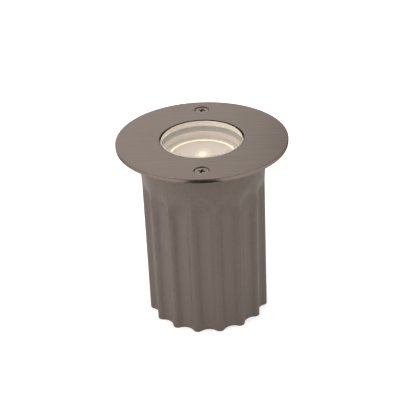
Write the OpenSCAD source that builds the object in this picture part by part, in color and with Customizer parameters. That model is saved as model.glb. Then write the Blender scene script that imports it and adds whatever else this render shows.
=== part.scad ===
// Recessed in-ground uplight: a fluted sleeve, a luminaire that drops into it, and a walk-over front.
// Millimetres. The origin is the centre of the sleeve's foot and +Z points up, out of the ground.

/* [Sleeve] */
// Outer diameter over the crests and the collar
sleeve_d = 80; // [78:0.5:90]
// Height from the foot to the rim
sleeve_h = 116; // [111:0.5:140]
// Wall thickness
sleeve_wall = 2; // [1.4:0.1:2.4]
// Number of flutes
flute_count = 16; // [14:1:18]
// Depth of a flute
flute_depth = 3.6; // [2.6:0.1:4]
// Radius of the rounded crest between two flutes
crest_r = 3.2; // [2.7:0.1:3.8]
// Height of the smooth collar above the flutes' round ends
collar_h = 21; // [19:0.5:40]
// Chamfer round the outside of the rim
rim_edge = 0.5; // [0.2:0.05:0.8]

/* [Trim ring] */
// Outer diameter
ring_d = 110; // [104:0.5:130]
// Thickness
ring_t = 2.5; // [2:0.1:4]
// Diameter of the opening
opening_d = 53.6; // [52:0.1:56]
// Chamfer on the top edges
ring_edge = 0.3; // [0.1:0.05:0.6]
// Distance of the screws from the sleeve's outer wall
screw_offset = 3; // [3:0.1:6]
// Width of the groove under the ring, between the flange and the seat on the ground
groove_w = 1.2; // [0.8:0.1:1.6]
// Depth of that groove
groove_t = 0.6; // [0.3:0.05:1]

/* [Trim screws] */
// Thread diameter
screw_d = 5; // [4:0.1:5]
// Head diameter
screw_head_d = 8.8; // [7.6:0.1:9.4]
// Length with the head
screw_l = 6; // [5:0.1:8]
// Diameter of the countersink at the top face
countersink_d = 10; // [9.6:0.1:10.8]
// Span of the cross recess
cross_w = 4.6; // [3.6:0.1:5.2]
// Width of each slot of the cross recess
cross_t = 1.1; // [0.8:0.1:1.4]
// Depth of the cross recess
cross_depth = 1.5; // [1:0.1:2]

/* [Glass] */
// Gap between the glass and the ring's opening
glass_gap = 0.9; // [0.4:0.1:1.4]
// How far the glass flange reaches out under the ring
glass_flange_w = 5.1; // [4:0.1:5.6]
// Thickness of the glass flange
glass_flange_t = 4.8; // [4:0.1:6]
// Chamfer on the glass's top edge
glass_edge = 0.3; // [0.1:0.05:0.5]
// Thickness of the gasket round the glass
gasket_t = 1; // [0.8:0.1:1.4]
// Width of the gasket's upper lip
gasket_upper_lip = 3.6; // [2:0.1:3.8]
// Width of the gasket's lower lip
gasket_lower_lip = 4.8; // [3:0.1:5]

/* [Housing] */
// Thickness of the flange that rests on the sleeve
flange_t = 3.5; // [3:0.1:5]
// Metal left outside the screws in the flange
flange_margin = 4.5; // [3.6:0.1:6]
// Depth of the spigot that centres the housing in the sleeve
spigot_h = 10; // [8:0.5:12]
// Clearance between the spigot and the sleeve
spigot_gap = 0.3; // [0.2:0.05:0.5]
// Clearance between the can and the flutes
can_gap = 1.4; // [0.5:0.1:1.6]
// Wall thickness of the can
can_wall = 2.5; // [1.8:0.1:2.7]
// Thickness of the floor
floor_t = 3; // [2.5:0.1:4]
// Thickness of the ring that supports the glass
support_t = 3.4; // [2.6:0.1:4]
// Height of the ring that centres the lamp
centring_h = 5.3; // [4.4:0.1:7]

/* [Lamp] */
// Diameter
lamp_d = 50; // [48.5:0.1:50.5]
// Length from the face to the tips of the pins
lamp_l = 54; // [52:0.5:57]
// Height of the straight rim
lamp_rim_h = 8; // [6.6:0.1:10]
// Diameter of the neck
lamp_neck_d = 26; // [25:0.1:28]
// Height of the cylindrical neck
lamp_neck_h = 4; // [3:0.1:6]
// Diameter of the lens
lens_d = 44; // [42.6:0.1:45.4]
// Thickness of the lens
lens_t = 2.2; // [1.8:0.1:3]
// Depth from the lens to the face of the board
light_depth = 4.6; // [3.8:0.1:5.4]
// Thickness of the board
board_t = 1.4; // [1:0.1:1.8]
// Diameter of the light-emitting chip
chip_d = 6; // [4:0.1:9]
// Thickness of the chip
chip_t = 1; // [0.6:0.1:1.4]
// Diameter of the cap
cap_d = 22; // [20.6:0.1:22.4]
// Height of the cap below the neck
cap_h = 8; // [6:0.1:9]
// Depth from the support of the glass down to the lamp's face
lamp_drop = 7.7; // [6.4:0.1:8.6]

/* [Bayonet] */
// Distance between the two pins
pin_pitch = 10; // [9.8:0.1:10.6]
// Length of a pin
pin_l = 7; // [6.6:0.1:8]
// Diameter of a pin's shank
pin_d = 3.3; // [2.8:0.1:3.5]
// Diameter of a pin's head
pin_head_d = 4.8; // [4.4:0.1:5]
// Height of a pin's head
pin_head_h = 2.5; // [2:0.1:2.8]
// Twist from locked to free
twist = 45; // [35:1:50]

/* [Lampholder] */
// Diameter
holder_d = 30; // [28.6:0.1:31]
// Height
holder_h = 17; // [16:0.1:19]
// Gap between the lamp's base and the holder
holder_gap = 0.5; // [0.3:0.1:0.9]
// Thickness of the top plate with the keyholes
keyhole_t = 3; // [2.4:0.1:3.2]
// Thickness of the bracket's sheet
sheet_t = 1; // [0.8:0.1:1.5]
// Clear height under the bracket's plate
bracket_h = 8.5; // [8:0.1:10]
// Half of the span between the bracket's legs
bracket_x = 18; // [17:0.1:18.4]
// Width of the bracket's strip
bracket_w = 14; // [12:0.1:16]
// Distance of the foot screws from the axis
foot_x = 22.5; // [22.2:0.1:23.2]
// Height of the bosses on the floor
boss_h = 3; // [2:0.1:3.4]

/* [Wiring] */
// Diameter of a lead
lead_d = 2.2; // [1.8:0.1:2.4]
// Distance between two poles of the terminal block
pole_pitch = 7; // [6.7:0.1:7.2]
// Depth of the terminal block from front to back
block_depth = 10; // [8.6:0.1:10.4]
// Height of the terminal block
block_h = 16; // [14:0.1:18]

/* [Small screws] */
// Thread diameter of the foot screws and of the earth screw
foot_screw_d = 4; // [3.4:0.1:4.4]
// Thread diameter of the lampholder's screws
holder_screw_d = 3; // [2.4:0.1:3.4]
// Thread diameter of the terminal block's screw
block_screw_d = 2; // [1.6:0.1:2.1]
// Thread diameter of the terminals' clamp screws
clamp_d = 1.8; // [1.4:0.1:2]

/* [Cable gland] */
// Thread diameter
gland_d = 20; // [18:0.1:20.4]
// Width across the flats of the gland's hexagons
gland_af = 24; // [23.6:0.1:25]
// Height of the hexagon
gland_hex_h = 5; // [4:0.1:6]
// Length of the threaded stem below the hexagon
gland_stem_l = 8; // [7:0.1:9]
// Height of the locknut
locknut_h = 4; // [3:0.1:4.6]
// Diameter of the cable that the seal takes
cable_d = 8; // [6:0.1:9.4]

/* [Hidden] */
$fn = 96;

// Clearance of pieces that sit one inside the other
fit = 0.05;
// Clearance of pieces that turn or lift out past each other
free = 0.3;
// How far a cut runs past the face that it opens
cut = 1;

// Outline of the sleeve: crest arcs and valley arcs that meet in tangents
sleeve_r = sleeve_d / 2;
half_pitch = 180 / flute_count;
crest_at = sleeve_r - crest_r;
floor_at = sleeve_r - flute_depth;
valley_r = (pow(crest_at, 2) + pow(floor_at, 2) - 2 * crest_at * floor_at * cos(half_pitch) - pow(crest_r, 2))
    / (2 * (crest_at * cos(half_pitch) + crest_r - floor_at));
valley_at = floor_at + valley_r;
flute_top = sleeve_h - collar_h - valley_r;
// Turn of the flutes, so that one of them faces the front
flute_turn = half_pitch - 90;

// Heights, from the sleeve's rim to the top and down to the gland
ring_z = sleeve_h + flange_t;
top_z = ring_z + ring_t;
step_z = ring_z - gasket_t;
glass_z = step_z - glass_flange_t;
seat_z = glass_z - gasket_t;
support_z = seat_z - support_t;
face_z = seat_z - lamp_drop;
tip_z = face_z - lamp_l;
base_z = tip_z + pin_l;
holder_top = base_z - holder_gap;
holder_z = holder_top - holder_h;
plate_z = holder_z - sheet_t;
floor_z = plate_z - bracket_h;
can_z = floor_z - floor_t;
hex_z = can_z - gasket_t - gland_hex_h;
stem_z = hex_z - gland_stem_l;

// Radii
ring_r = ring_d / 2;
opening_r = opening_d / 2;
screw_at = sleeve_r + screw_offset;
screw_sink = (countersink_d - screw_head_d) / 2 - fit;
screw_top = top_z - screw_sink;
glass_r = opening_r - glass_gap;
glass_flange_r = glass_r + glass_flange_w;
gasket_r = glass_flange_r + fit + gasket_t;
recess_r = gasket_r + free;
flange_r = screw_at + flange_margin;
spigot_r = sleeve_r - sleeve_wall - spigot_gap;
can_r = floor_at - sleeve_wall - can_gap;
can_bore_r = can_r - can_wall;
lamp_r = lamp_d / 2;
lens_r = lens_d / 2;
neck_r = lamp_neck_d / 2;
holder_r = holder_d / 2;
holder_screw_at = holder_r - 5.5;
holder_thread_l = 6;
plate_r = holder_r - 1.2;

// Lamp, seen in section
lens_seat = 1;
board_z = face_z - lens_t - light_depth;
board_under = board_z - board_t;
neck_z = base_z + cap_h;
neck_top = neck_z + lamp_neck_h;
neck_wall = 2.1;
shelf_r = lens_r - 4;
shelf_t = 2;
driver_w = 14;
driver_t = 1.2;
driver_slot = 4;
coil_side = 5;
capacitor_r = 2.7;
component_h = 8;

// Lampholder and wiring
pin_at = pin_pitch / 2;
head_room = 0.5;
pocket_r = pin_head_d / 2 + head_room;
contact_t = 1.2;
pocket_z = tip_z - contact_t - free;
tail_r = 0.7;
tail_l = 2.6;
lead_r = lead_d / 2;
lead_gap = 0.1;
lead_z = pocket_z - tail_l - lead_gap - lead_r;
bend_r = 2.4;
rise_y = holder_r + 0.8;
block_edge = (3 * pole_pitch) / 2;
block_back = sqrt(pow(can_bore_r, 2) - pow(block_edge, 2)) - 0.9;
block_front = block_back - block_depth;
pole_y = (block_front + block_back) / 2;
block_z = holder_z;
block_top = block_z + block_h;
barrel_r = 2.2;
barrel_inset = 1;
clamp_inset = 4;
clamp_head_r = 1.5;
block_thread_l = 7;
strip_l = 6;
boss_r = 3.5;
earth_x = -sqrt(pow(can_bore_r - boss_r - 0.4, 2) - pow(pole_y, 2));
tongue_t = 0.8;
tongue_r = 3.3;
crimp_t = 0.5;
crimp_l = 4;
crimp_x = earth_x + boss_r + 1;
earth_z = floor_z + boss_h + lead_r;

// Gland
gland_r = gland_d / 2;
stem_r = gland_r - 0.5;
seal_r = stem_r - 2;
seal_h = 6.2;
cable_gap = 1.2;
nut_end_t = 3;
nut_z = stem_z - seal_h / 3 - nut_end_t;

steel = [0.56, 0.52, 0.49];
grey_plastic = [0.45, 0.41, 0.38];
cast_grey = [0.60, 0.59, 0.56];
silicone = [0.90, 0.86, 0.79];
brass = [0.76, 0.60, 0.32];
zinc = [0.66, 0.66, 0.67];
ceramic = [0.91, 0.89, 0.84];
black = [0.12, 0.12, 0.12];

// Moves its children up to a height
module up(z) {
    translate([0, 0, z]) children();
}

// A ring between two radii
module tube(outer, inner, h) {
    difference() {
        cylinder(r = outer, h = h);
        up(-cut) cylinder(r = inner, h = h + 2 * cut);
    }
}

// A hexagonal prism, by its width across the flats
module hexagon(af, h) {
    cylinder(r = af / (2 * cos(30)), h = h, $fn = 6);
}

// Places its children at the bottom of each flute
module at_flutes() {
    for (i = [0 : flute_count - 1])
        rotate([0, 0, (2 * i + 1) * half_pitch]) translate([valley_at, 0, 0]) children();
}

// The wavy outline, grown outwards by a distance or inwards where it is negative
module flute_outline(grow) {
    difference() {
        union() {
            polygon([
                for (i = [0 : 2 * flute_count - 1])
                    let (r = i % 2 == 0 ? crest_at : valley_at)
                        [r * cos(i * half_pitch), r * sin(i * half_pitch)]
            ]);
            for (i = [0 : flute_count - 1])
                rotate(2 * i * half_pitch) translate([crest_at, 0]) circle(r = crest_r + grow);
        }
        at_flutes() circle(r = valley_r - grow);
    }
}

// The round upper ends of the flutes
module flute_ends(r) {
    at_flutes() rotate_extrude() intersection() {
        circle(r = r);
        square([r, r]);
    }
}

// One level of the sleeve's collar, with the flutes' ends taken out of it
module collar(outer, end_r) {
    difference() {
        cylinder(r = outer, h = sleeve_h - flute_top);
        flute_ends(end_r);
    }
}

module sleeve() {
    color(grey_plastic) rotate([0, 0, flute_turn]) difference() {
        union() {
            linear_extrude(flute_top) difference() {
                flute_outline(0);
                flute_outline(-sleeve_wall);
            }
            up(flute_top) difference() {
                collar(sleeve_r, valley_r);
                collar(sleeve_r - sleeve_wall, valley_r + sleeve_wall);
            }
        }
        rotate_extrude() polygon([
            [sleeve_r + cut, sleeve_h - rim_edge - cut],
            [sleeve_r + cut, sleeve_h + cut],
            [sleeve_r - rim_edge - cut, sleeve_h + cut],
        ]);
    }
}

// Places its children at the two trim screws, the front one first
module at_screw(side) {
    translate([0, side * screw_at, 0]) children();
}

// The countersunk hole that a trim screw needs, through the ring and the flange
module screw_hole() {
    hole_r = screw_d / 2 + fit;
    cone_h = countersink_d / 2 - hole_r;
    up(sleeve_h - cut) cylinder(r = hole_r, h = top_z - sleeve_h + 2 * cut);
    up(top_z - cone_h) cylinder(r1 = hole_r, r2 = countersink_d / 2, h = cone_h);
    up(top_z) cylinder(r = countersink_d / 2, h = cut);
}

module trim_screw(side) {
    head_h = (screw_head_d - screw_d) / 2;
    color(steel) at_screw(side) difference() {
        union() {
            up(screw_top - screw_l) cylinder(r = screw_d / 2, h = screw_l - head_h);
            up(screw_top - head_h) cylinder(r1 = screw_d / 2, r2 = screw_head_d / 2, h = head_h);
        }
        up(screw_top - cross_depth) for (turn = [0, 90]) rotate([0, 0, turn])
            translate([-cross_w / 2, -cross_t / 2, 0]) cube([cross_w, cross_t, cross_depth + cut]);
    }
}

module trim_screw_front() {
    trim_screw(-1);
}

module trim_screw_rear() {
    trim_screw(1);
}

module trim_ring() {
    groove_r = flange_r + free;
    color(steel) difference() {
        rotate_extrude() polygon([
            [opening_r, ring_z],
            [groove_r, ring_z],
            [groove_r, ring_z + groove_t],
            [groove_r + groove_w, ring_z + groove_t],
            [groove_r + groove_w, ring_z],
            [ring_r, ring_z],
            [ring_r, top_z - ring_edge],
            [ring_r - ring_edge, top_z],
            [opening_r + ring_edge, top_z],
            [opening_r, top_z - ring_edge],
        ]);
        for (side = [-1, 1]) at_screw(side) screw_hole();
    }
}

module glass() {
    color([0.88, 0.93, 0.91, 0.4]) rotate_extrude() polygon([
        [0, glass_z],
        [glass_flange_r, glass_z],
        [glass_flange_r, step_z],
        [glass_r, step_z],
        [glass_r, top_z - glass_edge],
        [glass_r - glass_edge, top_z],
        [0, top_z],
    ]);
}

module glass_gasket() {
    groove_r = glass_flange_r + fit;
    color(silicone) rotate_extrude() polygon([
        [glass_flange_r - gasket_lower_lip, seat_z],
        [gasket_r, seat_z],
        [gasket_r, ring_z],
        [glass_flange_r - gasket_upper_lip, ring_z],
        [glass_flange_r - gasket_upper_lip, step_z],
        [groove_r, step_z],
        [groove_r, glass_z],
        [glass_flange_r - gasket_lower_lip, glass_z],
    ]);
}

// Ring that lies on the housing's shoulder and carries the glass
module support_ring() {
    color(cast_grey) up(support_z) tube(recess_r - 2 * fit, lamp_r + free + 0.2, support_t);
}

// Soft ring that keeps the lamp central in the can
module centring_ring() {
    color(silicone) up(support_z - centring_h) tube(can_bore_r - 2 * fit, lamp_r + free, centring_h);
}

// A boss on the floor, from the middle of the floor's thickness, and the blind hole in it
module boss(r, past) {
    up(floor_z - floor_t / 2) cylinder(r = r, h = boss_h + floor_t / 2 + past);
}

module at_feet() {
    for (side = [-1, 1]) translate([side * foot_x, 0, 0]) children();
}

module at_earth() {
    translate([earth_x, pole_y, 0]) children();
}

module housing() {
    color(cast_grey) difference() {
        union() {
            difference() {
                union() {
                    up(sleeve_h) cylinder(r = flange_r, h = flange_t);
                    up(sleeve_h - spigot_h) cylinder(r = spigot_r, h = spigot_h + flange_t);
                    up(can_z) cylinder(r = can_r, h = ring_z - can_z);
                }
                up(floor_z) cylinder(r = can_bore_r, h = ring_z - floor_z + cut);
                up(support_z) cylinder(r = recess_r, h = ring_z - support_z + cut);
            }
            at_feet() boss(boss_r, 0);
            at_earth() boss(boss_r, 0);
        }
        up(can_z - cut) cylinder(r = gland_r + 2 * fit, h = floor_t + 2 * cut);
        at_feet() boss(foot_screw_d / 2 + fit, cut);
        at_earth() boss(foot_screw_d / 2 + fit, cut);
        for (side = [-1, 1]) at_screw(side) screw_hole();
    }
}

module lamp_body() {
    board_r = lens_r - lens_seat;
    color([0.86, 0.85, 0.83]) rotate_extrude() polygon([
        [lens_r + fit, face_z],
        [lamp_r, face_z],
        [lamp_r, face_z - lamp_rim_h],
        [neck_r, neck_top],
        [neck_r, neck_z],
        [neck_r - neck_wall, neck_z],
        [neck_r - neck_wall, neck_top],
        [shelf_r, board_under - shelf_t],
        [shelf_r, board_under],
        [board_r, board_under],
        [board_r, face_z - lens_t],
        [lens_r + fit, face_z - lens_t],
    ]);
}

module lamp_lens() {
    color([1, 0.95, 0.82, 0.7]) up(face_z - lens_t) cylinder(r = lens_r, h = lens_t);
}

module led_board() {
    color([0.93, 0.92, 0.88]) up(board_under) cylinder(r = lens_r - lens_seat - fit, h = board_t);
}

module led_chip() {
    color([1, 0.87, 0.45]) up(board_z) cylinder(r = chip_d / 2, h = chip_t);
}

// Driver board that stands in a slot of the cap, with its coil and its capacitor
module led_driver() {
    slot_z = neck_top - driver_slot;
    driver_h = board_under - shelf_t - slot_z - lens_t;
    color([0.16, 0.36, 0.22]) up(slot_z) {
        translate([-driver_w / 2, -driver_t / 2, 0]) cube([driver_w, driver_t, driver_h]);
        translate([-coil_side, 0, 2 * driver_slot]) cube([coil_side, coil_side + driver_t / 2, component_h]);
        translate([capacitor_r, -capacitor_r, 2 * driver_slot]) cylinder(r = capacitor_r, h = component_h);
    }
}

module lamp_cap() {
    plug_r = neck_r - neck_wall - fit;
    color([0.95, 0.94, 0.91]) difference() {
        union() {
            up(base_z) cylinder(r = cap_d / 2, h = cap_h);
            up(neck_z) cylinder(r = min(plug_r, cap_d / 2), h = lamp_neck_h);
        }
        for (side = [-1, 1]) translate([side * pin_at, 0, base_z - cut])
            cylinder(r = pin_d / 2 + fit, h = cap_h / 2 + cut);
        translate([-driver_w / 2 - fit, -driver_t / 2 - fit, neck_top - driver_slot])
            cube([driver_w + 2 * fit, driver_t + 2 * fit, driver_slot + cut]);
    }
}

module lamp_pins() {
    color(zinc) for (side = [-1, 1]) translate([side * pin_at, 0, 0]) {
        up(tip_z) cylinder(r = pin_head_d / 2, h = pin_head_h);
        up(tip_z + pin_head_h / 2) cylinder(r = pin_d / 2, h = base_z + cap_h / 2 - tip_z - pin_head_h / 2);
    }
}

// Space that a pin sweeps from its locked place to its free place
module pin_sweep(locked_r, free_r, z, h) {
    for (turn = [0, 180]) rotate([0, 0, turn]) up(z) {
        rotate_extrude(angle = twist) translate([pin_at - locked_r, 0]) square([2 * locked_r, h]);
        translate([pin_at, 0, 0]) cylinder(r = locked_r, h = h);
        rotate([0, 0, twist]) translate([pin_at, 0, 0]) cylinder(r = free_r, h = h);
    }
}

module at_holder_screws() {
    for (side = [-1, 1]) translate([0, side * holder_screw_at, 0]) children();
}

module lampholder() {
    color(ceramic) difference() {
        up(holder_z) cylinder(r = holder_r, h = holder_h);
        pin_sweep(pin_d / 2 + free, pocket_r, holder_top - keyhole_t - cut, keyhole_t + 2 * cut);
        pin_sweep(pocket_r, pocket_r, pocket_z, holder_top - keyhole_t - pocket_z);
        for (side = [-1, 1]) translate([side * pole_pitch, 0, lead_z]) {
            cylinder(r = tail_r + lead_gap, h = pocket_z - lead_z + cut);
            translate([0, -cut, 0]) rotate([-90, 0, 0]) cylinder(r = lead_r + lead_gap, h = holder_r + cut);
        }
        at_holder_screws() up(holder_z - cut)
            cylinder(r = holder_screw_d / 2 + fit, h = holder_thread_l + 2 * cut);
    }
}

module holder_contacts() {
    color(brass) for (side = [-1, 1]) {
        translate([side * pin_at, 0, pocket_z]) cylinder(r = pin_head_d / 2, h = contact_t);
        translate([side * pole_pitch, 0, pocket_z - tail_l]) cylinder(r = tail_r, h = tail_l + contact_t);
    }
}

// A slotted pan-head screw that points down, with its head's underside at zero
module pan_screw(d, l) {
    head_h = 0.6 * d;
    difference() {
        union() {
            up(-l) cylinder(r = d / 2, h = l + head_h / 2);
            cylinder(r = 0.85 * d, h = head_h);
        }
        translate([-d, -0.1 * d, head_h - 0.22 * d]) cube([2 * d, 0.2 * d, 0.22 * d + cut]);
    }
}

module holder_screws() {
    color(zinc) at_holder_screws() up(plate_z) rotate([180, 0, 0])
        pan_screw(holder_screw_d, sheet_t + holder_thread_l);
}

module holder_bracket() {
    leg_z = floor_z + boss_h;
    shelf_x = pole_pitch / 2;
    color(zinc) difference() {
        union() {
            up(plate_z) cylinder(r = plate_r, h = sheet_t);
            translate([-bracket_x, -bracket_w / 2, plate_z]) cube([2 * bracket_x, bracket_w, sheet_t]);
            translate([shelf_x - 2, 0, plate_z]) cube([4, block_back - 0.5, sheet_t]);
            for (turn = [0, 180]) rotate([0, 0, turn]) translate([bracket_x - sheet_t, -bracket_w / 2, leg_z]) {
                cube([sheet_t, bracket_w, plate_z - leg_z + sheet_t]);
                cube([foot_x + foot_screw_d - bracket_x + sheet_t, bracket_w, sheet_t]);
            }
        }
        at_feet() up(leg_z - cut) cylinder(r = foot_screw_d / 2 + fit, h = sheet_t + 2 * cut);
        at_holder_screws() up(plate_z - cut) cylinder(r = holder_screw_d / 2 + fit, h = sheet_t + 2 * cut);
        translate([shelf_x, pole_y, plate_z - cut])
            cylinder(r = block_screw_d / 2 + fit, h = sheet_t + 2 * cut);
    }
}

module bracket_screws() {
    color(zinc) at_feet() up(floor_z + boss_h + sheet_t)
        pan_screw(foot_screw_d, sheet_t + boss_h + floor_t / 3);
}

module block_screw() {
    color(zinc) translate([pole_pitch / 2, pole_y, plate_z]) rotate([180, 0, 0])
        pan_screw(block_screw_d, sheet_t + block_thread_l);
}

// Places its children on the axis of each pole
module at_poles() {
    for (i = [-1 : 1]) translate([i * pole_pitch, pole_y, 0]) children();
}

// Places its children on the axes of the clamp screws, pointing from the front of the block to a pole
module at_clamps() {
    for (z = [block_z + clamp_inset, block_top - clamp_inset]) at_poles()
        translate([0, -block_depth / 2, z]) rotate([-90, 0, 0]) children();
}

module terminal_block() {
    color(ceramic) difference() {
        translate([-block_edge, block_front, block_z]) cube([2 * block_edge, block_depth, block_h]);
        at_poles() up(block_z - cut) cylinder(r = barrel_r + fit, h = block_h + 2 * cut);
        at_clamps() up(-cut) cylinder(r = clamp_head_r + fit, h = block_depth / 2 + cut);
        translate([pole_pitch / 2, pole_y, block_z - cut])
            cylinder(r = block_screw_d / 2 + fit, h = block_thread_l + 2 * cut);
    }
}

module terminal_barrels() {
    color(brass) difference() {
        at_poles() up(block_z + barrel_inset) tube(barrel_r, lead_r + lead_gap, block_h - 2 * barrel_inset);
        at_clamps() cylinder(r = clamp_d / 2 + fit, h = block_depth / 2);
    }
}

module terminal_screws() {
    head_z = 0.5;
    head_h = block_depth / 2 - barrel_r - head_z - 0.2;
    slot_w = 0.5;
    color(zinc) at_clamps() up(head_z) difference() {
        union() {
            cylinder(r = clamp_d / 2, h = block_depth / 2 - lead_r - lead_gap - head_z);
            cylinder(r = clamp_head_r, h = head_h);
        }
        translate([-clamp_head_r - cut, -slot_w / 2, -cut])
            cube([2 * (clamp_head_r + cut), slot_w, slot_w + cut]);
    }
}

// Part of a turn of a lead, about a point in its own plane
module bend(x, y, start, angle, r) {
    translate([x, y, 0]) rotate([0, 0, start]) rotate_extrude(angle = angle)
        translate([r, 0]) circle(r = lead_r);
}

// A straight run of a lead, along X or along Y in its own plane
module run_x(x1, x2, y) {
    translate([min(x1, x2), y, 0]) rotate([0, 90, 0]) cylinder(r = lead_r, h = abs(x2 - x1));
}

module run_y(x, y1, y2) {
    translate([x, min(y1, y2), 0]) rotate([-90, 0, 0]) cylinder(r = lead_r, h = abs(y2 - y1));
}

// Lead from a contact, out of the holder, up and over into the top of the terminal block
module contact_lead(side) {
    loop_r = (pole_y - rise_y) / 2;
    loop_z = block_top + 2;
    translate([side * pole_pitch, 0, 0]) rotate([90, 0, 90]) {
        run_x(0, rise_y - bend_r, lead_z);
        bend(rise_y - bend_r, lead_z + bend_r, -90, 90, bend_r);
        run_y(rise_y, lead_z + bend_r, loop_z);
        bend(rise_y + loop_r, loop_z, 0, 180, loop_r);
        run_y(pole_y, block_top - strip_l, loop_z);
    }
}

module live_lead() {
    color([0.55, 0.32, 0.20]) contact_lead(1);
}

module neutral_lead() {
    color([0.24, 0.38, 0.66]) contact_lead(-1);
}

// Lead from the foot of the middle pole to the tongue under the earth screw
module earth_lead() {
    color([0.55, 0.62, 0.20]) translate([0, pole_y, 0]) rotate([90, 0, 0]) {
        run_x(crimp_x + crimp_t, -bend_r, earth_z);
        bend(-bend_r, earth_z + bend_r, -90, 90, bend_r);
        run_y(0, earth_z + bend_r, block_z + strip_l);
    }
}

module earth_tongue() {
    tongue_z = floor_z + boss_h;
    color(zinc) difference() {
        union() {
            at_earth() up(tongue_z) cylinder(r = tongue_r, h = tongue_t);
            translate([earth_x, pole_y - lead_r, tongue_z])
                cube([crimp_x - earth_x + crimp_t, lead_d, tongue_t]);
            translate([crimp_x, pole_y, earth_z]) rotate([0, 90, 0])
                cylinder(r = lead_r + crimp_t, h = crimp_l);
        }
        at_earth() up(tongue_z - cut) cylinder(r = foot_screw_d / 2 + fit, h = tongue_t + 2 * cut);
        translate([crimp_x + crimp_t, pole_y, earth_z]) rotate([0, 90, 0])
            cylinder(r = lead_r + fit, h = crimp_l);
    }
}

module earth_screw() {
    color(brass) at_earth() up(floor_z + boss_h + tongue_t)
        pan_screw(foot_screw_d, tongue_t + boss_h + floor_t / 3);
}

module gland_body() {
    color(black) difference() {
        union() {
            up(stem_z) cylinder(r = stem_r, h = gland_stem_l + cut);
            up(hex_z) hexagon(gland_af, gland_hex_h);
            up(hex_z + gland_hex_h / 2)
                cylinder(r = gland_r, h = floor_z + locknut_h + 1 - hex_z - gland_hex_h / 2);
        }
        up(stem_z - cut) cylinder(r = seal_r + fit, h = seal_h * 2 / 3 + cut);
        up(stem_z) cylinder(r = cable_d / 2 + cable_gap, h = floor_z + locknut_h - stem_z + 2 * cut);
    }
}

module gland_gasket() {
    color(black) up(can_z - gasket_t) tube(gland_af / 2, gland_r + 2 * fit, gasket_t);
}

module gland_locknut() {
    color(black) up(floor_z) difference() {
        hexagon(gland_af, locknut_h);
        up(-cut) cylinder(r = gland_r + fit, h = locknut_h + 2 * cut);
    }
}

module gland_seal() {
    color([0.2, 0.2, 0.2]) up(nut_z + nut_end_t + free) tube(seal_r, cable_d / 2, seal_h - free);
}

module gland_nut() {
    dome_h = 2;
    nut_h = hex_z - nut_z - free;
    color(black) up(nut_z) difference() {
        union() {
            up(dome_h) hexagon(gland_af, nut_h - dome_h);
            cylinder(r1 = gland_af / 2 - dome_h, r2 = gland_af / 2, h = dome_h);
        }
        up(nut_end_t) cylinder(r = stem_r + 2 * fit, h = nut_h);
        up(-cut) cylinder(r = cable_d / 2 + cable_gap, h = nut_end_t + 2 * cut);
    }
}

sleeve();
housing();
support_ring();
centring_ring();
trim_ring();
trim_screw_front();
trim_screw_rear();
glass();
glass_gasket();
lamp_body();
lamp_lens();
led_board();
led_chip();
led_driver();
lamp_cap();
lamp_pins();
lampholder();
holder_contacts();
holder_screws();
holder_bracket();
bracket_screws();
terminal_block();
terminal_barrels();
terminal_screws();
block_screw();
live_lead();
neutral_lead();
earth_lead();
earth_tongue();
earth_screw();
gland_body();
gland_gasket();
gland_locknut();
gland_seal();
gland_nut();
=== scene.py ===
"""Recessed in-ground uplight: finished pieces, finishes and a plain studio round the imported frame."""

import logging
import math
from dataclasses import dataclass
from enum import Enum
from typing import Callable, Iterable, Optional, Sequence

import bmesh
import bpy
from bmesh.types import BMEdge, BMesh, BMVert
from mathutils import Matrix, Quaternion, Vector


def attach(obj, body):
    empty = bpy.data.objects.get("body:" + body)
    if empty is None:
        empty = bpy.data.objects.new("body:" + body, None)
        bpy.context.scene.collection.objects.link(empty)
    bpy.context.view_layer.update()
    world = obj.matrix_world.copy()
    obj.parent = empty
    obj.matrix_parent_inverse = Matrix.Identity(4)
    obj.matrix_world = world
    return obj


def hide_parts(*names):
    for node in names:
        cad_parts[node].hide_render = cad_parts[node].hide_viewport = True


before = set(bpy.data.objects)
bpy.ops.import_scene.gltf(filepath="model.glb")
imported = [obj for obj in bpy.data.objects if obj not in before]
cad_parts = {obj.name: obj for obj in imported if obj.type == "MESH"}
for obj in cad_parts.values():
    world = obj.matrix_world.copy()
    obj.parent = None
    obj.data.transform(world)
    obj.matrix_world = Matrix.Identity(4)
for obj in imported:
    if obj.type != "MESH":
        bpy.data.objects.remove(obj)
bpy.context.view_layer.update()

LOG = logging.getLogger("uplight")
MM = 0.001
PHOTO_PX = 416

# Limits for meshes, in mm: vertices that are one, faces that are slivers, and edges that lie at the same
# height or at the same radius, which the steps of a turn make a little smaller. Then the angle past which
# an edge is sharp, and the Z of a normal below which a face is a wall, or above which it is level.
DOUBLES = 1e-4
SLIVER = 1e-5
LEVEL = 0.01
ROUND = 0.1
SHARP_DEG = 22.0
WALL = 0.3
FLAT = 0.9

Point = tuple[float, float]
Outline = Sequence[Point]
Colour = tuple[float, float, float]
Socket = bpy.types.NodeSocket


class Side(Enum):
    """Which of the two trim screws a piece is."""

    FRONT = -1
    REAR = 1


class Cut(Enum):
    """What a tool does to the solid that it meets."""

    TAKE_OUT = "DIFFERENCE"
    KEEP_COMMON = "INTERSECT"


class Brushing(Enum):
    """How a metal face was brushed: the scale of its pattern along the lines and across them."""

    STRAIGHT = (60.0, 2600.0)
    FINE = (300.0, 4200.0)
    NONE = (900.0, 900.0)


class Face(Enum):
    """Which finish of its piece a face has: the main one, the one for worked faces, or the one for holes."""

    MAIN = 0
    WORKED = 1
    HOLE = 2


class Steps(Enum):
    """How many steps a full turn has, by the kind of piece."""

    BAR = 48
    SCREW = 64
    HOLE = 72
    GLAND = 96
    LAMP = 128
    BODY = 160
    GLASS = 192
    RING = 256


# ---- meshes, in millimetres until they are published


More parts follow.
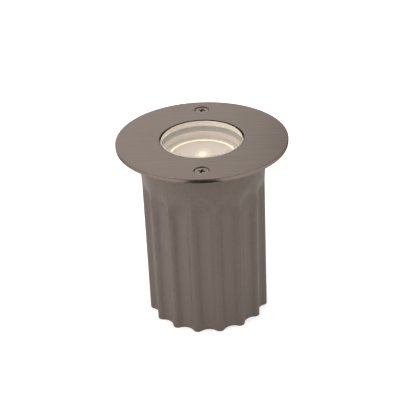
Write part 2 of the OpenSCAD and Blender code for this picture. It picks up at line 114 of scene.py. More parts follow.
def held(outline: Outline, closed: bool, hold: float) -> Outline:
    """Adds points near both ends of each long run, so that a rounded corner doesn't bend the run's shading.

    Args:
        outline: Points as (radius, height), in mm.
        closed: Whether the last point joins the first one.
        hold: Distance of the new points from the corners, in mm.

    Returns:
        The outline with its new points.
    """
    ends = list(outline[1:]) + ([outline[0]] if closed else [])
    points = []
    for (radius, height), (next_radius, next_height) in zip(outline, ends):
        points.append((radius, height))
        out, up = next_radius - radius, next_height - height
        length = math.hypot(out, up)
        if length > 3 * hold:
            for part in (hold / length, 1 - hold / length):
                points.append((radius + out * part, height + up * part))
    return points if closed else points + [outline[-1]]


def turned(outline: Outline, steps: Steps = Steps.BODY, closed: bool = True, hold: float = 0.6) -> BMesh:
    """Spins an outline once round the Z axis.

    Args:
        outline: Points as (radius, height), in mm.
        steps: Number of steps of the full turn.
        closed: Whether the last point joins the first one. An outline from axis to axis stays open.
        hold: Distance of the extra rings from the corners, in mm. It is more than any rounding's width.

    Returns:
        A closed mesh with its faces outwards.
    """
    mesh = bmesh.new()
    verts = [mesh.verts.new((radius, 0.0, height)) for radius, height in held(outline, closed, hold)]
    pairs = list(zip(verts, verts[1:]))
    if closed:
        pairs.append((verts[-1], verts[0]))
    edges = [mesh.edges.new(pair) for pair in pairs]
    bmesh.ops.spin(
        mesh, geom=verts + edges, cent=(0, 0, 0), axis=(0, 0, 1), dvec=(0, 0, 0), angle=math.tau,
        space=Matrix.Identity(4), steps=steps.value, use_merge=True, use_normal_flip=False,
        use_duplicate=False,
    )
    tidy(mesh)
    return mesh


def tidy(mesh: BMesh) -> None:
    """Merges doubles, drops slivers and turns the faces outwards.

    Args:
        mesh: The mesh to work on.
    """
    bmesh.ops.remove_doubles(mesh, verts=mesh.verts, dist=DOUBLES)
    bmesh.ops.dissolve_degenerate(mesh, dist=SLIVER, edges=mesh.edges)
    bmesh.ops.recalc_face_normals(mesh, faces=mesh.faces)


def middle(edge: BMEdge) -> Point:
    """The radius and the height of an edge's middle, in mm."""
    point = (edge.verts[0].co + edge.verts[1].co) / 2
    return math.hypot(point.x, point.y), point.z


def soften(
    mesh: BMesh, width: float, corners: int = 3, where: Optional[Callable[[float, float], bool]] = None
) -> None:
    """Rounds the sharp edges of a mesh.

    Args:
        mesh: The mesh to work on.
        width: How wide the rounding is, in mm.
        corners: Number of segments across the rounding.
        where: Says from an edge's radius and height whether it is rounded. Left out, every sharp edge is.
    """
    sharp = math.radians(SHARP_DEG)
    edges = [
        edge for edge in mesh.edges
        if len(edge.link_faces) == 2 and edge.calc_face_angle(0.0) > sharp
        and (where is None or where(*middle(edge)))
    ]
    bmesh.ops.bevel(
        mesh, geom=edges, offset=width, offset_type="OFFSET", segments=corners, profile=0.5,
        affect="EDGES", clamp_overlap=True, material=-1,
    )


def loose(mesh: BMesh, name: str) -> bpy.types.Object:
    """Puts a mesh in an object of its own.

    Args:
        mesh: The mesh. It is freed.
        name: Name of the object and its data.

    Returns:
        The object, linked to the scene.
    """
    data = bpy.data.meshes.new(name)
    mesh.to_mesh(data)
    mesh.free()
    thing = bpy.data.objects.new(name, data)
    bpy.context.scene.collection.objects.link(thing)
    return thing


def carved(solid: BMesh, tool: BMesh, cut: Cut = Cut.TAKE_OUT) -> BMesh:
    """Cuts a solid with a tool.

    Args:
        solid: The mesh that is cut. It is freed.
        tool: The mesh that cuts it. It is freed.
        cut: What the tool does.

    Returns:
        What is left of the solid.
    """
    things = [loose(solid, "solid"), loose(tool, "tool")]
    boolean = things[0].modifiers.new("cut", "BOOLEAN")
    boolean.operation = cut.value
    boolean.object = things[1]
    boolean.solver = "EXACT"
    result = bmesh.new()
    result.from_object(things[0], bpy.context.evaluated_depsgraph_get())
    for thing in things:
        bpy.data.meshes.remove(thing.data)
    return result


def joined(*meshes: BMesh) -> BMesh:
    """Puts closed shells together in one mesh.

    Args:
        meshes: The shells. They are freed.

    Returns:
        One mesh with all of them in it.
    """
    whole = bmesh.new()
    for mesh in meshes:
        data = bpy.data.meshes.new("shell")
        mesh.to_mesh(data)
        mesh.free()
        whole.from_mesh(data)
        bpy.data.meshes.remove(data)
    return whole


def moved(mesh: BMesh, x: float = 0.0, y: float = 0.0, z: float = 0.0) -> BMesh:
    """Moves a whole mesh and gives it back."""
    bmesh.ops.translate(mesh, vec=(x, y, z), verts=mesh.verts)
    return mesh


def rotated(mesh: BMesh, turn: Matrix) -> BMesh:
    """Turns a whole mesh about the origin and gives it back."""
    bmesh.ops.rotate(mesh, cent=(0, 0, 0), matrix=turn, verts=mesh.verts)
    return mesh


def about(axis: str, angle: float) -> Matrix:
    """A turn about the X, Y or Z axis, in radians."""
    return Matrix.Rotation(angle, 3, axis)


def post(radius: float, low: float, high: float, steps: Steps = Steps.BAR) -> BMesh:
    """A round bar on the Z axis, from one height to another."""
    return turned([(0.0, low), (radius, low), (radius, high), (0.0, high)], steps, closed=False)


def tube(inner: float, outer: float, low: float, high: float, steps: Steps) -> BMesh:
    """A ring or a tube on the Z axis, from one height to another."""
    return turned([(inner, low), (outer, low), (outer, high), (inner, high)], steps)


def box(width: float, depth: float, low: float, high: float) -> BMesh:
    """Makes a block about the Z axis.

    Args:
        width: Its size along X, in mm.
        depth: Its size along Y.
        low: Height of its lower face.
        high: Height of its upper face.

    Returns:
        The block.
    """
    mesh = bmesh.new()
    bmesh.ops.create_cube(mesh, size=1.0)
    bmesh.ops.scale(mesh, vec=(width, depth, high - low), verts=mesh.verts)
    return moved(mesh, z=(low + high) / 2)


def hexagon(across: float, low: float, high: float, ease: float) -> BMesh:
    """Makes a hexagon bar with turned ends, as a nut has.

    Args:
        across: Width across the flats, in mm.
        low: Height of its lower end.
        high: Height of its upper end.
        ease: Size of the turned chamfer at each end.

    Returns:
        The bar, with its corners on the X axis.
    """
    corner = across / math.sqrt(3)
    mesh = bmesh.new()
    bmesh.ops.create_cone(
        mesh, cap_ends=True, cap_tris=False, segments=6, radius1=corner, radius2=corner, depth=high - low
    )
    moved(rotated(mesh, about("Z", math.pi / 6)), z=(low + high) / 2)
    face, outside = across / 2 - 0.1, corner + 0.3
    slope, past = ease * 1.6, 0.01
    lathe = turned([
        (0.0, low - past), (face, low - past), (outside, low + slope),
        (outside, high - slope), (face, high + past), (0.0, high + past),
    ], Steps.GLAND, closed=False)
    return carved(mesh, lathe, Cut.KEEP_COMMON)


def threaded(root: float, crest: float, low: float, high: float, pitch: float) -> list[Point]:
    """Makes the outline of a threaded stretch, from its top down.

    Args:
        root: Radius at the bottom of the thread.
        crest: Radius at its crest.
        low: Height of the lower end.
        high: Height of the upper end.
        pitch: Height of one turn.

    Returns:
        Points as (radius, height).
    """
    tooth = ((root, 0.1), (crest, 0.5), (root, 0.9))
    turns = max(1, int((high - low) / pitch))
    return [(radius, high - turn * pitch - part * pitch) for turn in range(turns) for radius, part in tooth]


# ---- finishes


class Graph:
    """A node tree, with short calls for the nodes that the finishes share."""

    def __init__(self, tree: bpy.types.NodeTree) -> None:
        """Keeps the tree that the nodes go into."""
        self.tree = tree

    def node(self, kind: str, settings: Optional[dict] = None, **inputs: object) -> bpy.types.Node:
        """Adds a node.

        Args:
            kind: The node's type.
            settings: Its properties.
            inputs: Values or output sockets for its inputs, with spaces in their names as underscores.

        Returns:
            The new node.
        """
        node = self.tree.nodes.new(kind)
        for key, value in (settings or {}).items():
            setattr(node, key, value)
        for key, value in inputs.items():
            self.feed(node.inputs[key.replace("_", " ")], value)
        return node

    def feed(self, socket: Socket, value: object) -> None:
        """Links an output socket to an input, or sets the input's value.

        Args:
            socket: The input.
            value: An output socket, a number, a vector, or a colour of three parts.
        """
        if isinstance(value, Socket):
            self.tree.links.new(value, socket)
        elif socket.type == "RGBA":
            socket.default_value = (*value, 1.0)
        else:
            socket.default_value = value

    def maths(self, operation: str, first: object, second: object) -> Socket:
        """Adds a Math node.

        Args:
            operation: What it does.
            first: Its first value.
            second: Its second value.

        Returns:
            The result.
        """
        node = self.node("ShaderNodeMath", {"operation": operation})
        for socket, value in zip(node.inputs, (first, second)):
            self.feed(socket, value)
        return node.outputs[0]

    def plus(self, first: object, second: object) -> Socket:
        """The sum of two values."""
        return self.maths("ADD", first, second)

    def times(self, first: object, second: object) -> Socket:
        """The product of two values."""
        return self.maths("MULTIPLY", first, second)

    def mixed(self, first: object, second: object, share: float) -> Socket:
        """The sum of a share of the first value and the rest of the second."""
        return self.plus(self.times(first, share), self.times(second, 1 - share))

    def span(
        self, value: object, low: float, high: float, out_low: float = 0.0, out_high: float = 1.0
    ) -> Socket:
        """Maps a value from one range to another, eased at both ends.

        Args:
            value: The value.
            low: Where the first range starts.
            high: Where it ends, which may be the smaller number.
            out_low: The result at its start.
            out_high: The result at its end.

        Returns:
            The result, which stays within its range.
        """
        node = self.node("ShaderNodeMapRange", {"interpolation_type": "SMOOTHSTEP"})
        names = ("Value", "From Min", "From Max", "To Min", "To Max")
        for name, number in zip(names, (value, low, high, out_low, out_high)):
            self.feed(node.inputs[name], number)
        return node.outputs["Result"]

    def blend(self, factor: object, first: object, second: object) -> Socket:
        """Mixes two colours.

        Args:
            factor: The second colour's share.
            first: The first colour.
            second: The second colour.

        Returns:
            The mixed colour.
        """
        node = self.node("ShaderNodeMix", {"data_type": "RGBA", "clamp_factor": True}, Factor=factor)
        for socket, value in zip([s for s in node.inputs if s.type == "RGBA"], (first, second)):
            self.feed(socket, value)
        return next(s for s in node.outputs if s.type == "RGBA")

    def varied(self, factor: object, colour: Colour, share: float) -> Socket:
        """A colour that runs from a share darker to a share lighter with a pattern."""
        return self.blend(factor, tinted(colour, 1 - share), tinted(colour, 1 + share))

    def place(self, scale: Colour = (1.0, 1.0, 1.0), shift: Colour = (0.0, 0.0, 0.0)) -> Socket:
        """Object coordinates, stretched along each axis and then shifted."""
        source = self.node("ShaderNodeTexCoord").outputs["Object"]
        return self.node("ShaderNodeMapping", Vector=source, Scale=scale, Location=shift).outputs["Vector"]

    def length(self, vector: Socket) -> Socket:
        """The length of a vector."""
        return self.node("ShaderNodeVectorMath", {"operation": "LENGTH"}, Vector=vector).outputs["Value"]

    def noise(self, vector: object, scale: object, detail: float, roughness: float) -> Socket:
        """A noise value about one half."""
        node = self.node("ShaderNodeTexNoise", Vector=vector, Scale=scale, Detail=detail, Roughness=roughness)
        return node.outputs[0]


def new_group(
    name: str, inputs: Iterable[tuple[str, str]], outputs: Iterable[str]
) -> tuple[Graph, bpy.types.Node]:
    """Starts a shader node group.

    Args:
        name: Its name.
        inputs: Pairs of an input's name and its socket type.
        outputs: Names of its number outputs.

    Returns:
        The group's graph and the node that gives its inputs.
    """
    tree = bpy.data.node_groups.new(name, "ShaderNodeTree")
    for label, kind in inputs:
        tree.interface.new_socket(name=label, in_out="INPUT", socket_type=kind)
    for label in outputs:
        tree.interface.new_socket(name=label, in_out="OUTPUT", socket_type="NodeSocketFloat")
    graph = Graph(tree)
    return graph, graph.node("NodeGroupInput")


class Effects:
    """The shader node groups that more than one finish uses, each built once."""

    # Shares of the first of two patterns in a height, and scales of the broader patterns.
    PEBBLES = 0.55
    PATCH_SCALE = 0.05
    FINE_LINES = 0.7
    STREAK_SCALE = 0.22
    SMEAR_SCALE = 55.0
    SCUFF_SCALE = 420.0
    SCUFFS = 0.55

    def __init__(self) -> None:
        """Builds the groups."""
        self.grain = self._grain()
        self.lines = self._lines()
        self.marks = self._marks()

    def _grain(self) -> bpy.types.NodeTree:
        """Builds fine moulded or cast grain, and soft patches some twenty times as large.

        Returns:
            The group, which gives Height and Patches.
        """
        graph, given = new_group(
            "grain", [("Vector", "NodeSocketVector"), ("Scale", "NodeSocketFloat")], ["Height", "Patches"]
        )
        vector, scale = given.outputs["Vector"], given.outputs["Scale"]
        pebbles = graph.node(
            "ShaderNodeTexVoronoi", {"feature": "SMOOTH_F1"}, Vector=vector, Scale=scale, Smoothness=0.7
        ).outputs["Distance"]
        fine = graph.noise(vector, scale, detail=3.0, roughness=0.6)
        broad = graph.noise(vector, graph.times(scale, self.PATCH_SCALE), detail=3.0, roughness=0.55)
        graph.node(
            "NodeGroupOutput", Height=graph.mixed(pebbles, fine, self.PEBBLES),
            Patches=graph.span(broad, 0.34, 0.66),
        )
        return graph.tree

    def _lines(self) -> bpy.types.NodeTree:
        """Builds brushed lines for stretched coordinates, and the broader streaks among them.

        Returns:
            The group, which gives Height and Streaks.
        """
        graph, given = new_group("brushed lines", [("Vector", "NodeSocketVector")], ["Height", "Streaks"])
        vector = given.outputs["Vector"]
        fine = graph.noise(vector, 1.0, detail=3.0, roughness=0.65)
        broad = graph.noise(vector, self.STREAK_SCALE, detail=2.0, roughness=0.5)
        graph.node(
            "NodeGroupOutput", Height=graph.mixed(fine, broad, self.FINE_LINES),
            Streaks=graph.span(broad, 0.3, 0.7),
        )
        return graph.tree

    def _marks(self) -> bpy.types.NodeTree:
        """Builds handling marks: soft smears with thinner scuffs in them, strongest where Where is one.

        Returns:
            The group, which gives Mask.
        """
        graph, given = new_group(
            "handling marks", [("Vector", "NodeSocketVector"), ("Where", "NodeSocketFloat")], ["Mask"]
        )
        vector = given.outputs["Vector"]
        smears = graph.span(graph.noise(vector, self.SMEAR_SCALE, detail=4.0, roughness=0.6), 0.46, 0.72)
        scuffs = graph.span(graph.noise(vector, self.SCUFF_SCALE, detail=2.0, roughness=0.7), 0.5, 0.68)
        mask = graph.times(smears, graph.plus(1 - self.SCUFFS, graph.times(scuffs, self.SCUFFS)))
        graph.node("NodeGroupOutput", Mask=graph.times(mask, given.outputs["Where"]))
        return graph.tree


EFFECTS = Effects()


class Recipe(Graph):
    """One material: its shader, its output and the patterns that follow the object's radius and height."""

    def __init__(self, name: str) -> None:
        """Starts a material with a Principled BSDF.

        Args:
            name: The material's name.
        """
        self.material = bpy.data.materials.new(name)
        self.material.use_nodes = True
        super().__init__(self.material.node_tree)
        self.tree.nodes.clear()
        self.shader = self.node("ShaderNodeBsdfPrincipled")
        self.output = self.node("ShaderNodeOutputMaterial", Surface=self.shader.outputs["BSDF"])

    def dress(self, **inputs: object) -> None:
        """Sets or links the shader's inputs."""
        for key, value in inputs.items():
            self.feed(self.shader.inputs[key.replace("_", " ")], value)

    def show(self, surface: Socket) -> None:
        """Puts another shader's result on the surface."""
        self.feed(self.output.inputs["Surface"], surface)

    def merge(self, factor: Socket, first: Socket, second: Socket) -> Socket:
        """Mixes two shaders' results.

        Args:
            factor: The second one's share.
            first: The first shader's result.
            second: The second shader's result.

        Returns:
            The mixed result.
        """
        node = self.node("ShaderNodeMixShader", Fac=factor)
        self.feed(node.inputs[1], first)
        self.feed(node.inputs[2], second)
        return node.outputs["Shader"]

    def bump(self, height: object, depth: float) -> None:
        """Raises the surface by a height pattern, depth metres deep."""
        node = self.node("ShaderNodeBump", Height=height, Distance=depth)
        self.dress(Normal=node.outputs["Normal"])

    def effect(self, tree: bpy.types.NodeTree, **inputs: object) -> bpy.types.Node:
        """Places a shared effect in the material."""
        return self.node("ShaderNodeGroup", {"node_tree": tree}, **inputs)

    def radius(self) -> Socket:
        """Distance from the light's axis, in metres."""
        return self.length(self.place((1.0, 1.0, 0.0)))

    def height(self) -> Socket:
        """Height above the sleeve's foot, in metres."""
        return self.node("ShaderNodeSeparateXYZ", Vector=self.place()).outputs["Z"]


def tinted(colour: Colour, factor: float) -> Colour:
    """A colour made lighter or darker by a factor."""
    return tuple(min(1.0, part * factor) for part in colour)


@dataclass(frozen=True)
class Finish:
    """What every finish has: a name, a colour as linear RGB, and how rough it is."""

    name: str
    colour: Colour
    roughness: float = 0.5

    def recipe(self) -> Recipe:
        """Builds the material's nodes."""
        raise NotImplementedError

    def material(self) -> bpy.types.Material:
        """The finish's material, built the first time that it is asked for."""
        return bpy.data.materials.get(self.name) or self.recipe().material


@dataclass(frozen=True)
class Moulded(Finish):
    """A moulded, pressed or fired face: grain, soft patches of colour, uneven gloss and perhaps a painted
    glow that stands in for the lamp's light on it.
    """

    grain: float = 1800.0
    depth: float = 0.00003
    variation: float = 0.06
    under: float = 0.0
    under_m: float = 0.002
    # Strength of a painted glow, standing in for the lamp's light on the face.
    lit: float = 0.0
    gloss: float = 0.05

    def recipe(self) -> Recipe:
        """Builds the material's nodes.

        Returns:
            The finished recipe.
        """
        made = Recipe(self.name)
        grain = made.effect(EFFECTS.grain, Vector=made.place(), Scale=self.grain)
        patches = grain.outputs["Patches"]
        made.dress(
            Base_Color=made.varied(patches, self.colour, self.variation),
            Roughness=made.span(patches, 0.0, 1.0, self.roughness - self.gloss, self.roughness + self.gloss),
            Subsurface_Weight=self.under,
            Subsurface_Scale=self.under_m,
            Emission_Color=self.colour,
            Emission_Strength=self.lit,
        )
        made.bump(grain.outputs["Height"], self.depth)
        return made


@dataclass(frozen=True)
class SleevePlastic(Moulded):
    """The sleeve's matt plastic: painted light that lifts the shade in the flute valleys, painted shade on
    the crests with real scuffs on them, and painted shade towards the foot.
    """

    crest_m: float = 0.040
    valley_m: float = 0.0364
    flute_top_m: float = 0.094
    # Height up to which the painted shade at the foot reaches.
    foot_m: float = 0.05
    crest_band_m: float = 0.0012
    # Width of the band of painted light in the valleys.
    valley_light_band_m: float = 0.0018
    run_out_m: float = 0.012
    flow_scale: Colour = (420.0, 420.0, 12.0)
    speckle_scale: float = 1100.0
    speckle: float = 0.6
    # Strength of the painted light that lifts the valleys' shade.
    painted_valley_light: float = 0.7
    # Strength of the painted shade on the crests.
    painted_darkening: float = 0.5
    # Strength of the painted shade towards the foot.
    foot: float = 0.35
    scuffs: float = 0.2
    scuff_gloss: float = 0.14

    def recipe(self) -> Recipe:
        """Builds the material's nodes.

        Returns:
            The finished recipe.
        """
        made = Recipe(self.name)
        grain = made.effect(EFFECTS.grain, Vector=made.place(), Scale=self.grain)
        flow = made.noise(made.place(self.flow_scale), 1.0, detail=3.0, roughness=0.55)
        fine = made.noise(made.place(), self.speckle_scale, detail=2.0, roughness=0.6)
        speckle = made.span(fine, 0.35, 0.65, -self.speckle, self.speckle)
        tone = made.plus(made.mixed(grain.outputs["Patches"], flow, 0.5), speckle)
        colour = made.varied(tone, self.colour, self.variation)

        reach, height = made.radius(), made.height()
        crest = made.span(reach, self.crest_m - self.crest_band_m, self.crest_m)
        valley = made.span(reach, self.valley_m + self.valley_light_band_m, self.valley_m)
        fluted = made.span(height, self.flute_top_m, self.flute_top_m - self.run_out_m)
        marks = made.effect(EFFECTS.marks, Vector=made.place(), Where=crest).outputs["Mask"]
        # Each layer's mask, its strength and how much lighter or darker it is than the plastic.
        layers = (
            # Painted light in the valleys, lifting their shade.
            (made.times(valley, fluted), self.painted_valley_light, 1.2),
            # Painted shade on the crests.
            (made.times(crest, fluted), self.painted_darkening, 0.9),
            # Painted shade, darker towards the foot.
            (made.span(height, self.foot_m, 0.0), self.foot, 0.86),
            (marks, self.scuffs, 1.25),
        )
        for mask, strength, shade in layers:
            colour = made.blend(made.times(mask, strength), colour, tinted(self.colour, shade))
        made.dress(
            Base_Color=colour,
            Roughness=made.span(marks, 0.0, 1.0, self.roughness, self.roughness - self.scuff_gloss),
            Specular_IOR_Level=0.3,
        )
        made.bump(grain.outputs["Height"], self.depth)
        return made


@dataclass(frozen=True)
class Metal(Finish):
    """A metal face: brushed lines or cast grain, streaks in its gloss and handling marks.

    The rim at edge_m may be smoother and carry a painted dark reflection, and the face at shadow_m may carry
    a painted shadow.
    """

    brushing: Brushing = Brushing.NONE
    depth: float = 0.000004
    variation: float = 0.05
    edge_m: float = 0.0
    shadow_m: float = 0.0
    rim_tint: Colour = (1.0, 1.0, 1.0)
    streak_gloss: Point = (-0.04, 0.05)
    edge_band_m: Point = (0.0006, 0.0002)
    shadow_band_m: float = 0.0003
    # Share and shade of the painted dark reflection on the rim, and how much smoother the rim is.
    painted_darkening: float = 0.6
    rim_shade: float = 0.6
    polish: float = 0.14
    shadow: float = 0.16
    smears: float = 0.05

    def recipe(self) -> Recipe:
        """Builds the material's nodes.

        Returns:
            The finished recipe.
        """
        made = Recipe(self.name)
        along, across = self.brushing.value
        if self.brushing is Brushing.NONE:
            pattern = made.effect(EFFECTS.grain, Vector=made.place(), Scale=across)
            streaks = pattern.outputs["Patches"]
        else:
            pattern = made.effect(EFFECTS.lines, Vector=made.place((along, across, across)))
            streaks = pattern.outputs["Streaks"]
        marks = made.effect(EFFECTS.marks, Vector=made.place(), Where=1.0).outputs["Mask"]
        colour = made.varied(streaks, self.colour, self.variation)
        rough = made.span(streaks, 0.0, 1.0, *(self.roughness + part for part in self.streak_gloss))
        # Painted dark reflection on the rounded rim, which is also smoother.
        if self.edge_m:
            edge = made.span(made.radius(), *(self.edge_m - part for part in self.edge_band_m))
            colour = made.blend(made.times(edge, self.painted_darkening), colour, tinted(self.colour, self.rim_shade))
            rough = made.maths("SUBTRACT", rough, made.times(edge, self.polish))
        # Painted shadow on the faces round the opening.
        if self.shadow_m:
            inner = made.span(made.radius(), self.shadow_m + self.shadow_band_m, self.shadow_m)
            colour = made.blend(inner, colour, tinted(self.colour, self.shadow))
        made.dress(
            Base_Color=colour,
            Roughness=made.plus(rough, made.times(marks, self.smears)),
            Metallic=1.0,
            Specular_Tint=self.rim_tint,
        )
        made.bump(pattern.outputs["Height"], self.depth)
        return made


@dataclass(frozen=True)
class Polished(Finish):
    """Polished clear glass, which lets the lamps' light in to what lies behind it."""

    wave_scale: float = 40.0
    wave_m: float = 0.000004
    smear_scale: float = 160.0
    through: float = 0.96

    def recipe(self) -> Recipe:
        """Builds the material's nodes.

        Returns:
            The finished recipe.
        """
        made = Recipe(self.name)
        smears = made.noise(made.place(), self.smear_scale, detail=3.0, roughness=0.6)
        made.dress(
            Base_Color=self.colour,
            Roughness=made.span(smears, 0.45, 0.8, 0.0, self.roughness),
            IOR=1.5,
            Transmission_Weight=1.0,
        )
        waves = made.noise(made.place(), self.wave_scale, detail=1.0, roughness=0.4)
        made.bump(waves, self.wave_m)
        shadow_ray = made.node("ShaderNodeLightPath").outputs["Is Shadow Ray"]
        clear = made.node("ShaderNodeBsdfTransparent", Color=tinted(self.colour, self.through))
        made.show(made.merge(shadow_ray, made.shader.outputs["BSDF"], clear.outputs["BSDF"]))
        return made


@dataclass(frozen=True)
class Glowing(Finish):
    """A frosted window lit from behind: a bright oval middle and an even face, with a painted highlight round
    its edge.
    """

    light: Colour = (1.0, 0.775, 0.42)
    strength: float = 1.25
    core_m: float = 0.0032
    skirt_m: float = 0.0075
    stretch: float = 0.72
    shift_m: float = 0.0014
    edge_m: float = 0.0217
    edge_width_m: float = 0.0016
    core_full: float = 0.3
    edge_full: float = 0.4
    top_m: Point = (0.1041, 0.1046)
    face: float = 0.06
    core: float = 0.44
    skirt: float = 0.26
    edge: float = 1.0
    grain: float = 900.0
    depth: float = 0.00002

    def recipe(self) -> Recipe:
        """Builds the material's nodes.

        Returns:
            The finished recipe.
        """
        made = Recipe(self.name)
        grain = made.effect(EFFECTS.grain, Vector=made.place(), Scale=self.grain)
        oval = made.place((1.0, self.stretch, 0.0), (0.0, -self.shift_m * self.stretch, 0.0))
        near = made.length(oval)
        core = made.span(near, self.core_m, self.core_m * self.core_full, 0.0, self.core)
        skirt = made.span(near, self.skirt_m, 0.0, 0.0, self.skirt)
        # Painted highlight: a bright ring near the edge, on the top face only.
        starts, ends = (self.edge_m - self.edge_width_m * part for part in (1.0, self.edge_full))
        edge = made.span(made.radius(), starts, ends, 0.0, self.edge)
        top = made.span(made.height(), *self.top_m)
        glow = made.plus(made.plus(made.plus(core, skirt), made.times(edge, top)), self.face)
        made.dress(
            Base_Color=self.colour,
            Roughness=self.roughness,
            Emission_Color=made.blend(glow, (0.0, 0.0, 0.0), self.light),
            Emission_Strength=self.strength,
            Coat_Weight=0.15,
        )
        made.bump(grain.outputs["Height"], self.depth)
        return made


@dataclass(frozen=True)
class Striped(Moulded):
    """Green insulation with a yellow stripe, as an earth lead has."""

    stripe: Colour = (0.75, 0.58, 0.04)
    stripe_m: Point = (0.02285, 0.02295)

    def recipe(self) -> Recipe:
        """Builds the material's nodes.

        Returns:
            The finished recipe.
        """
        made = Moulded.recipe(self)
        side = made.node("ShaderNodeSeparateXYZ", Vector=made.place()).outputs["Y"]
        made.dress(Base_Color=made.blend(made.span(side, *self.stripe_m), self.colour, self.stripe))
        return made


SLEEVE_GREY = SleevePlastic(
    "sleeve plastic", (0.146, 0.116, 0.100), 0.6, grain=1700.0, depth=0.00006, variation=0.07
)
RING_STEEL = Metal(
    "ring steel", (0.250, 0.199, 0.167), 0.36, brushing=Brushing.STRAIGHT, depth=0.000006, variation=0.075,
    edge_m=0.055, shadow_m=0.0271,
)
# The ring's walls: the cut edges' own darker tone with painted shade, dimmed reflections and a painted shadow
# round the opening.
CUT_EDGE_AND_SHADE = Metal(
    "cut edge steel and painted shade", (0.158, 0.126, 0.107), 0.23, brushing=Brushing.FINE, shadow_m=0.0271,
    rim_tint=(0.45, 0.4, 0.36),
)
# Countersink walls: steel darkened to painted shade.
HOLE_WALL_SHADE = Metal("countersink painted shade", (0.09, 0.075, 0.066), 0.32)
SCREW_STEEL = Metal("screw steel", (0.27, 0.225, 0.195), 0.3, brushing=Brushing.FINE)
# Near-black painted shade in the screws' cross recesses.
RECESS_SHADE = Moulded("recess painted shade", (0.022, 0.019, 0.017), 0.7, grain=2600.0)
CLEAR_GLASS = Polished("clear glass", (0.975, 0.99, 0.98), 0.03)
# The ground glass and both silicones glow faintly: painted light that stands in for the lamp's light inside.
GROUND_GLASS = Moulded(
    "ground glass", (0.84, 0.73, 0.60), 0.6, grain=3000.0, depth=0.00002, variation=0.03, lit=0.14
)
WHITE_SILICONE = Moulded(
    "white silicone", (0.817, 0.739, 0.624), 0.5, grain=2600.0, variation=0.03, under=0.1, lit=0.16
)
PALE_SILICONE = Moulded("pale silicone", (0.64, 0.51, 0.41), 0.55, grain=2600.0, variation=0.04, lit=0.1)
CAST_METAL = Metal("cast metal", (0.42, 0.41, 0.38), 0.45, depth=0.00003)
SUPPORT_METAL = Moulded("support grey", (0.30, 0.28, 0.245), 0.5, grain=1600.0, variation=0.05)
LAMP_WHITE = Moulded("lamp white", (0.62, 0.54, 0.45), 0.4, grain=2400.0, depth=0.00001, variation=0.02)
LAMP_WINDOW = Glowing("lamp window", (0.53, 0.42, 0.355), 0.45)
BOARD_WHITE = Moulded("board white", (0.80, 0.78, 0.72), 0.4, grain=3200.0, depth=0.00001, variation=0.03)
CHIP_GLOW = Glowing("chip glow", (0.9, 0.72, 0.3), core_m=0.004, edge=0.0, face=0.5)
DRIVER_GREEN = Moulded("driver green", (0.012, 0.09, 0.035), 0.35, grain=2800.0, depth=0.00002, variation=0.2)
CERAMIC = Moulded("fired ceramic", (0.76, 0.72, 0.63), 0.62, grain=1500.0, depth=0.00004, variation=0.04)
ZINC = Metal("zinc plate", (0.46, 0.47, 0.50), 0.34, depth=0.00001, variation=0.08)
BRASS = Metal("plain brass", (0.55, 0.36, 0.11), 0.3, brushing=Brushing.FINE, variation=0.08)
LIVE_BROWN = Moulded("brown insulation", (0.11, 0.03, 0.012), 0.42, grain=3000.0, depth=0.00001)
NEUTRAL_BLUE = Moulded("blue insulation", (0.012, 0.05, 0.26), 0.42, grain=3000.0, depth=0.00001)
EARTH_STRIPED = Striped("striped insulation", (0.03, 0.20, 0.03), 0.42, grain=3000.0, depth=0.00001)
BLACK_NYLON = Moulded("black nylon", (0.014, 0.014, 0.015), 0.42, grain=1500.0, depth=0.00004, variation=0.12)
BLACK_RUBBER = Moulded("black rubber", (0.01, 0.01, 0.01), 0.7, grain=2200.0, variation=0.12)

KEPT_NODES: dict[str, Finish] = {
    "led_board": BOARD_WHITE, "led_chip": CHIP_GLOW, "led_driver": DRIVER_GREEN, "lamp_cap": LAMP_WHITE,
    "lamp_pins": ZINC, "lampholder": CERAMIC, "holder_contacts": BRASS, "holder_screws": ZINC,
    "holder_bracket": ZINC, "bracket_screws": ZINC, "terminal_block": CERAMIC, "terminal_barrels": BRASS,
    "terminal_screws": ZINC, "block_screw": ZINC, "live_lead": LIVE_BROWN, "neutral_lead": NEUTRAL_BLUE,
    "earth_lead": EARTH_STRIPED, "earth_tongue": ZINC, "earth_screw": BRASS, "gland_seal": BLACK_RUBBER,
}


@dataclass(frozen=True)
class Job:
    """Where a finished piece belongs: its name, the body it rides on, its slot, which is not used, and the
    node it stands for.
    """

    name: str
    body: str
    slot: str
    node: str

    def publish(self, mesh: BMesh, *finishes: Finish, smooth: float = 34.0) -> None:
        """Makes the finished object, at the origin, with its place in its mesh.

        Args:
            mesh: The piece, in mm. It is freed.
            finishes: Its materials, in the order of its faces' material numbers.
            smooth: Edges flatter than this many degrees are shaded smooth.
        """
        bmesh.ops.scale(mesh, vec=(MM, MM, MM), verts=mesh.verts)
        triangles = sum(len(face.verts) - 2 for face in mesh.faces)
        piece = loose(mesh, self.name)
        for finish in finishes:
            piece.data.materials.append(finish.material())
        piece.data.shade_smooth()
        piece.data.set_sharp_from_angle(angle=math.radians(smooth))
        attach(piece, self.body)
        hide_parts(self.node)
        LOG.info("%s: %d triangles, rides on %s, stands for %s", self.name, triangles, self.body, self.node)


# ---- sub-assemblies, all sizes in mm


